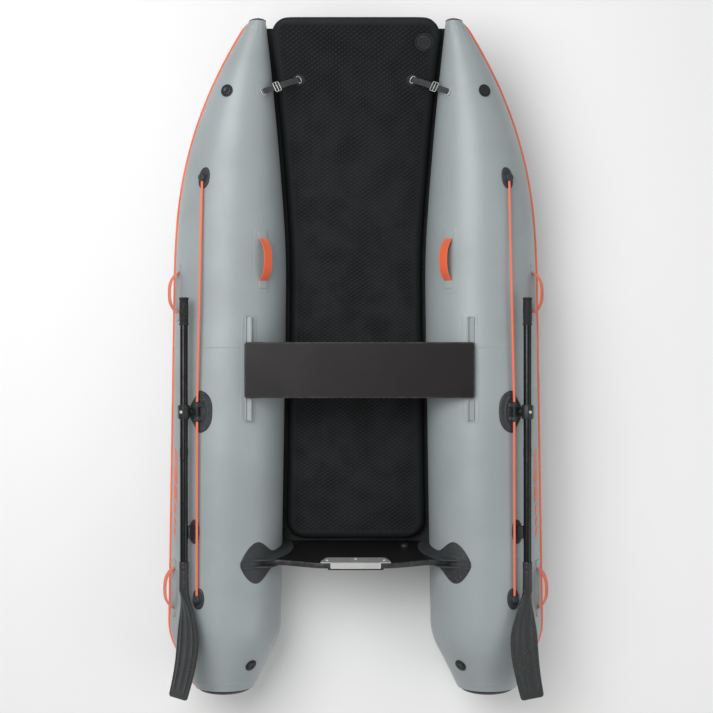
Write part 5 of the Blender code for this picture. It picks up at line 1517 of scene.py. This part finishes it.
def number_property(name, description, default, low=0.0, **kind):
    """A number with its lowest value and its unit."""
    return bpy.props.FloatProperty(name=name, description=description, default=default, min=low, **kind)


class CATAMARAN_colours(bpy.types.PropertyGroup):
    """Colours of the finishes, in linear light."""

    tube: colour_property("Tube fabric", "Grey coated fabric of the tubes", (0.300, 0.338, 0.346))
    deck: colour_property("Deck fabric", "Ground colour of the embossed air deck", (0.0072, 0.0084, 0.0094))
    trim: colour_property("Trim", "Orange rubbing strakes and side bars", (0.88, 0.150, 0.050))
    webbing: colour_property("Webbing", "Orange webbing of the handles", (0.93, 0.140, 0.040))
    rope: colour_property("Line", "Braided grab lines", (0.98, 0.200, 0.105))
    seat: colour_property("Seat film", "Dark film on the seat board", (0.0115, 0.0090, 0.0098))


def length_property(name, description, default, high):
    """A length in metres with its highest value."""
    return number_property(name, description, default, unit="LENGTH", max=high, precision=4)


class CATAMARAN_sizes(bpy.types.PropertyGroup):
    """Sizes of the details; the frame fixes the rest."""

    lap_step: length_property("Seam lap", "Step where two panels of a tube are glued", 0.0010, 0.003)
    strake_height: length_property("Strake height", "How far the rubbing strake stands off the tube", 0.008, 0.010)
    handle_rise: length_property("Handle rise", "Height of a handle's arch", 0.0325, 0.034)
    tape_width: length_property("Tape width", "Width of the handles' webbing", 0.036, 0.038)
    line_radius: length_property("Line radius", "Radius of the braided grab lines", 0.0048, 0.0055)
    blade_ribs: length_property("Blade ribs", "Height of the three ribs on a blade", 0.0030, 0.005)
    dash_pitch: length_property("Dash pitch", "Length from one embossed dash of the deck to the next", 0.0155, 0.05)
    dash_columns: length_property("Dash columns", "Width from one column of dashes to the next", 0.0115, 0.05)


class CATAMARAN_stage(bpy.types.PropertyGroup):
    """Floor, lights and camera."""

    floor: colour_property("Floor", "Colour of the pale floor", (0.88, 0.88, 0.88))
    key_power: number_property("Key power", "Power of the overhead softbox", 165.0, unit="POWER")
    fill_power: number_property("Fill power", "Power of the fill lights", 34.0, unit="POWER")
    air: number_property("Air", "Strength of the light from all around", 0.37)
    lens: number_property("Lens", "Focal length of the camera in millimetres", 74.9, 10.0,
                          subtype="DISTANCE_CAMERA")
    camera_height: number_property("Camera height", "Height of the camera over the floor", 6.0, 1.0, unit="LENGTH")


def piece_operator(name, label, words, build):
    """An operator class that builds one group of pieces; build is called with no arguments."""

    def execute(self, context):
        Hull.sizes = context.scene.catamaran_sizes
        build()
        return {"FINISHED"}

    return type(f"CATAMARAN_OT_{name}", (bpy.types.Operator,),
                {"bl_idname": f"catamaran.{name}", "bl_label": label, "__doc__": words,
                 "bl_description": words, "bl_options": {"REGISTER", "UNDO"}, "execute": execute})


class CATAMARAN_OT_finishes(bpy.types.Operator):
    """Make every finish from the colours"""

    bl_idname = "catamaran.finishes"
    bl_label = "Finishes"

    def execute(self, context):
        Hull.finishes = Finishes(context.scene.catamaran_colours, context.scene.catamaran_sizes).make_all()
        return {"FINISHED"}


class CATAMARAN_OT_stage(bpy.types.Operator):
    """Build the floor, the lights and the camera"""

    bl_idname = "catamaran.stage"
    bl_label = "Stage"

    def execute(self, context):
        build_stage(context.scene.catamaran_stage)
        return {"FINISHED"}


def both(*builders):
    """Call each builder for the left and the right side."""
    def build():
        for label, side in SIDES.items():
            for builder in builders:
                builder(label, side)
    return build


def build_handles():
    for label, side in SIDES.items():
        for place in HANDLES:
            build_handle(label, side, place)


def build_lines():
    for label, side in SIDES.items():
        for place in EYES:
            build_rope_eye(label, side, place)
            build_grab_line(label, side, place)


def build_valves():
    for label, side in SIDES.items():
        for place, (degrees, middle) in VALVES.items():
            build_valve(f"{label}_{place}_air_valve", side, degrees, middle, f"{label}_{place}_valve")


OPERATORS = [CATAMARAN_OT_stage, CATAMARAN_OT_finishes] + [
    piece_operator(*entry) for entry in (
        ("tubes", "Tubes", "Build the two tubes with their bow tips and stern caps", both(build_tube, build_caps)),
        ("strakes", "Strakes", "Build the rubbing strakes", both(build_strake)),
        ("patches", "Patches", "Build the wear patches under the handles", both(build_patches)),
        ("marks", "Side bars", "Build the plain slanting bars on the outboard sides", both(build_marks)),
        ("valves", "Valves", "Build the air valves of the tubes", build_valves),
        ("sheet", "Bottom sheet", "Build the web between the tubes", build_bottom_sheet),
        ("deck", "Air deck", "Build the air deck and its valve", build_deck_mat),
        ("transom", "Transom", "Build the transom board", build_transom),
        ("motor", "Motor fittings", "Build the clamp plate, the pad and the drain valve", build_motor_fittings),
        ("holders", "Transom holders", "Build the holders that grip the transom", both(build_holder)),
        ("seat", "Seat", "Build the seat board and its runners", build_seat),
        ("rails", "Seat rails", "Build the rails under the seat", both(build_seat_rail)),
        ("handles", "Handles", "Build the webbing handles", build_handles),
        ("straps", "Bow straps", "Build the bow straps with their rings and buckles", both(build_bow_strap)),
        ("lines", "Grab lines", "Build the grab lines and their eyes", build_lines),
        ("oarlocks", "Oarlocks", "Build the oarlock bases, arms and stowing clips",
         both(build_oarlock_base, build_oarlock_arm, build_clip)),
        ("oars", "Oars", "Build the oars", both(build_collar, build_shaft, build_blade)),
    )]


GROUPS = {"catamaran_colours": CATAMARAN_colours, "catamaran_sizes": CATAMARAN_sizes,
          "catamaran_stage": CATAMARAN_stage}


class CATAMARAN_PT_panel(bpy.types.Panel):
    """Colours, sizes, stage and every build step"""

    bl_idname = "CATAMARAN_PT_panel"
    bl_label = "Inflatable catamaran"
    bl_space_type = "VIEW_3D"
    bl_region_type = "UI"
    bl_category = "Catamaran"

    def draw(self, context):
        for name, kind in GROUPS.items():
            for key in kind.__annotations__:
                self.layout.prop(getattr(context.scene, name), key)
        for operator in OPERATORS:
            self.layout.operator(operator.bl_idname)


CLASSES = [*GROUPS.values(), *OPERATORS, CATAMARAN_PT_panel]


def register():
    for entry in CLASSES:
        bpy.utils.register_class(entry)
    for name, kind in GROUPS.items():
        setattr(bpy.types.Scene, name, bpy.props.PointerProperty(type=kind))


def unregister():
    for name in GROUPS:
        delattr(bpy.types.Scene, name)
    for entry in reversed(CLASSES):
        bpy.utils.unregister_class(entry)


def main():
    """Register, build every group in order and write the CAD box and the visual box."""
    register()
    for operator in OPERATORS:
        getattr(bpy.ops.catamaran, operator.bl_idname.split(".")[1])()


if __name__ == "__main__":
    main()
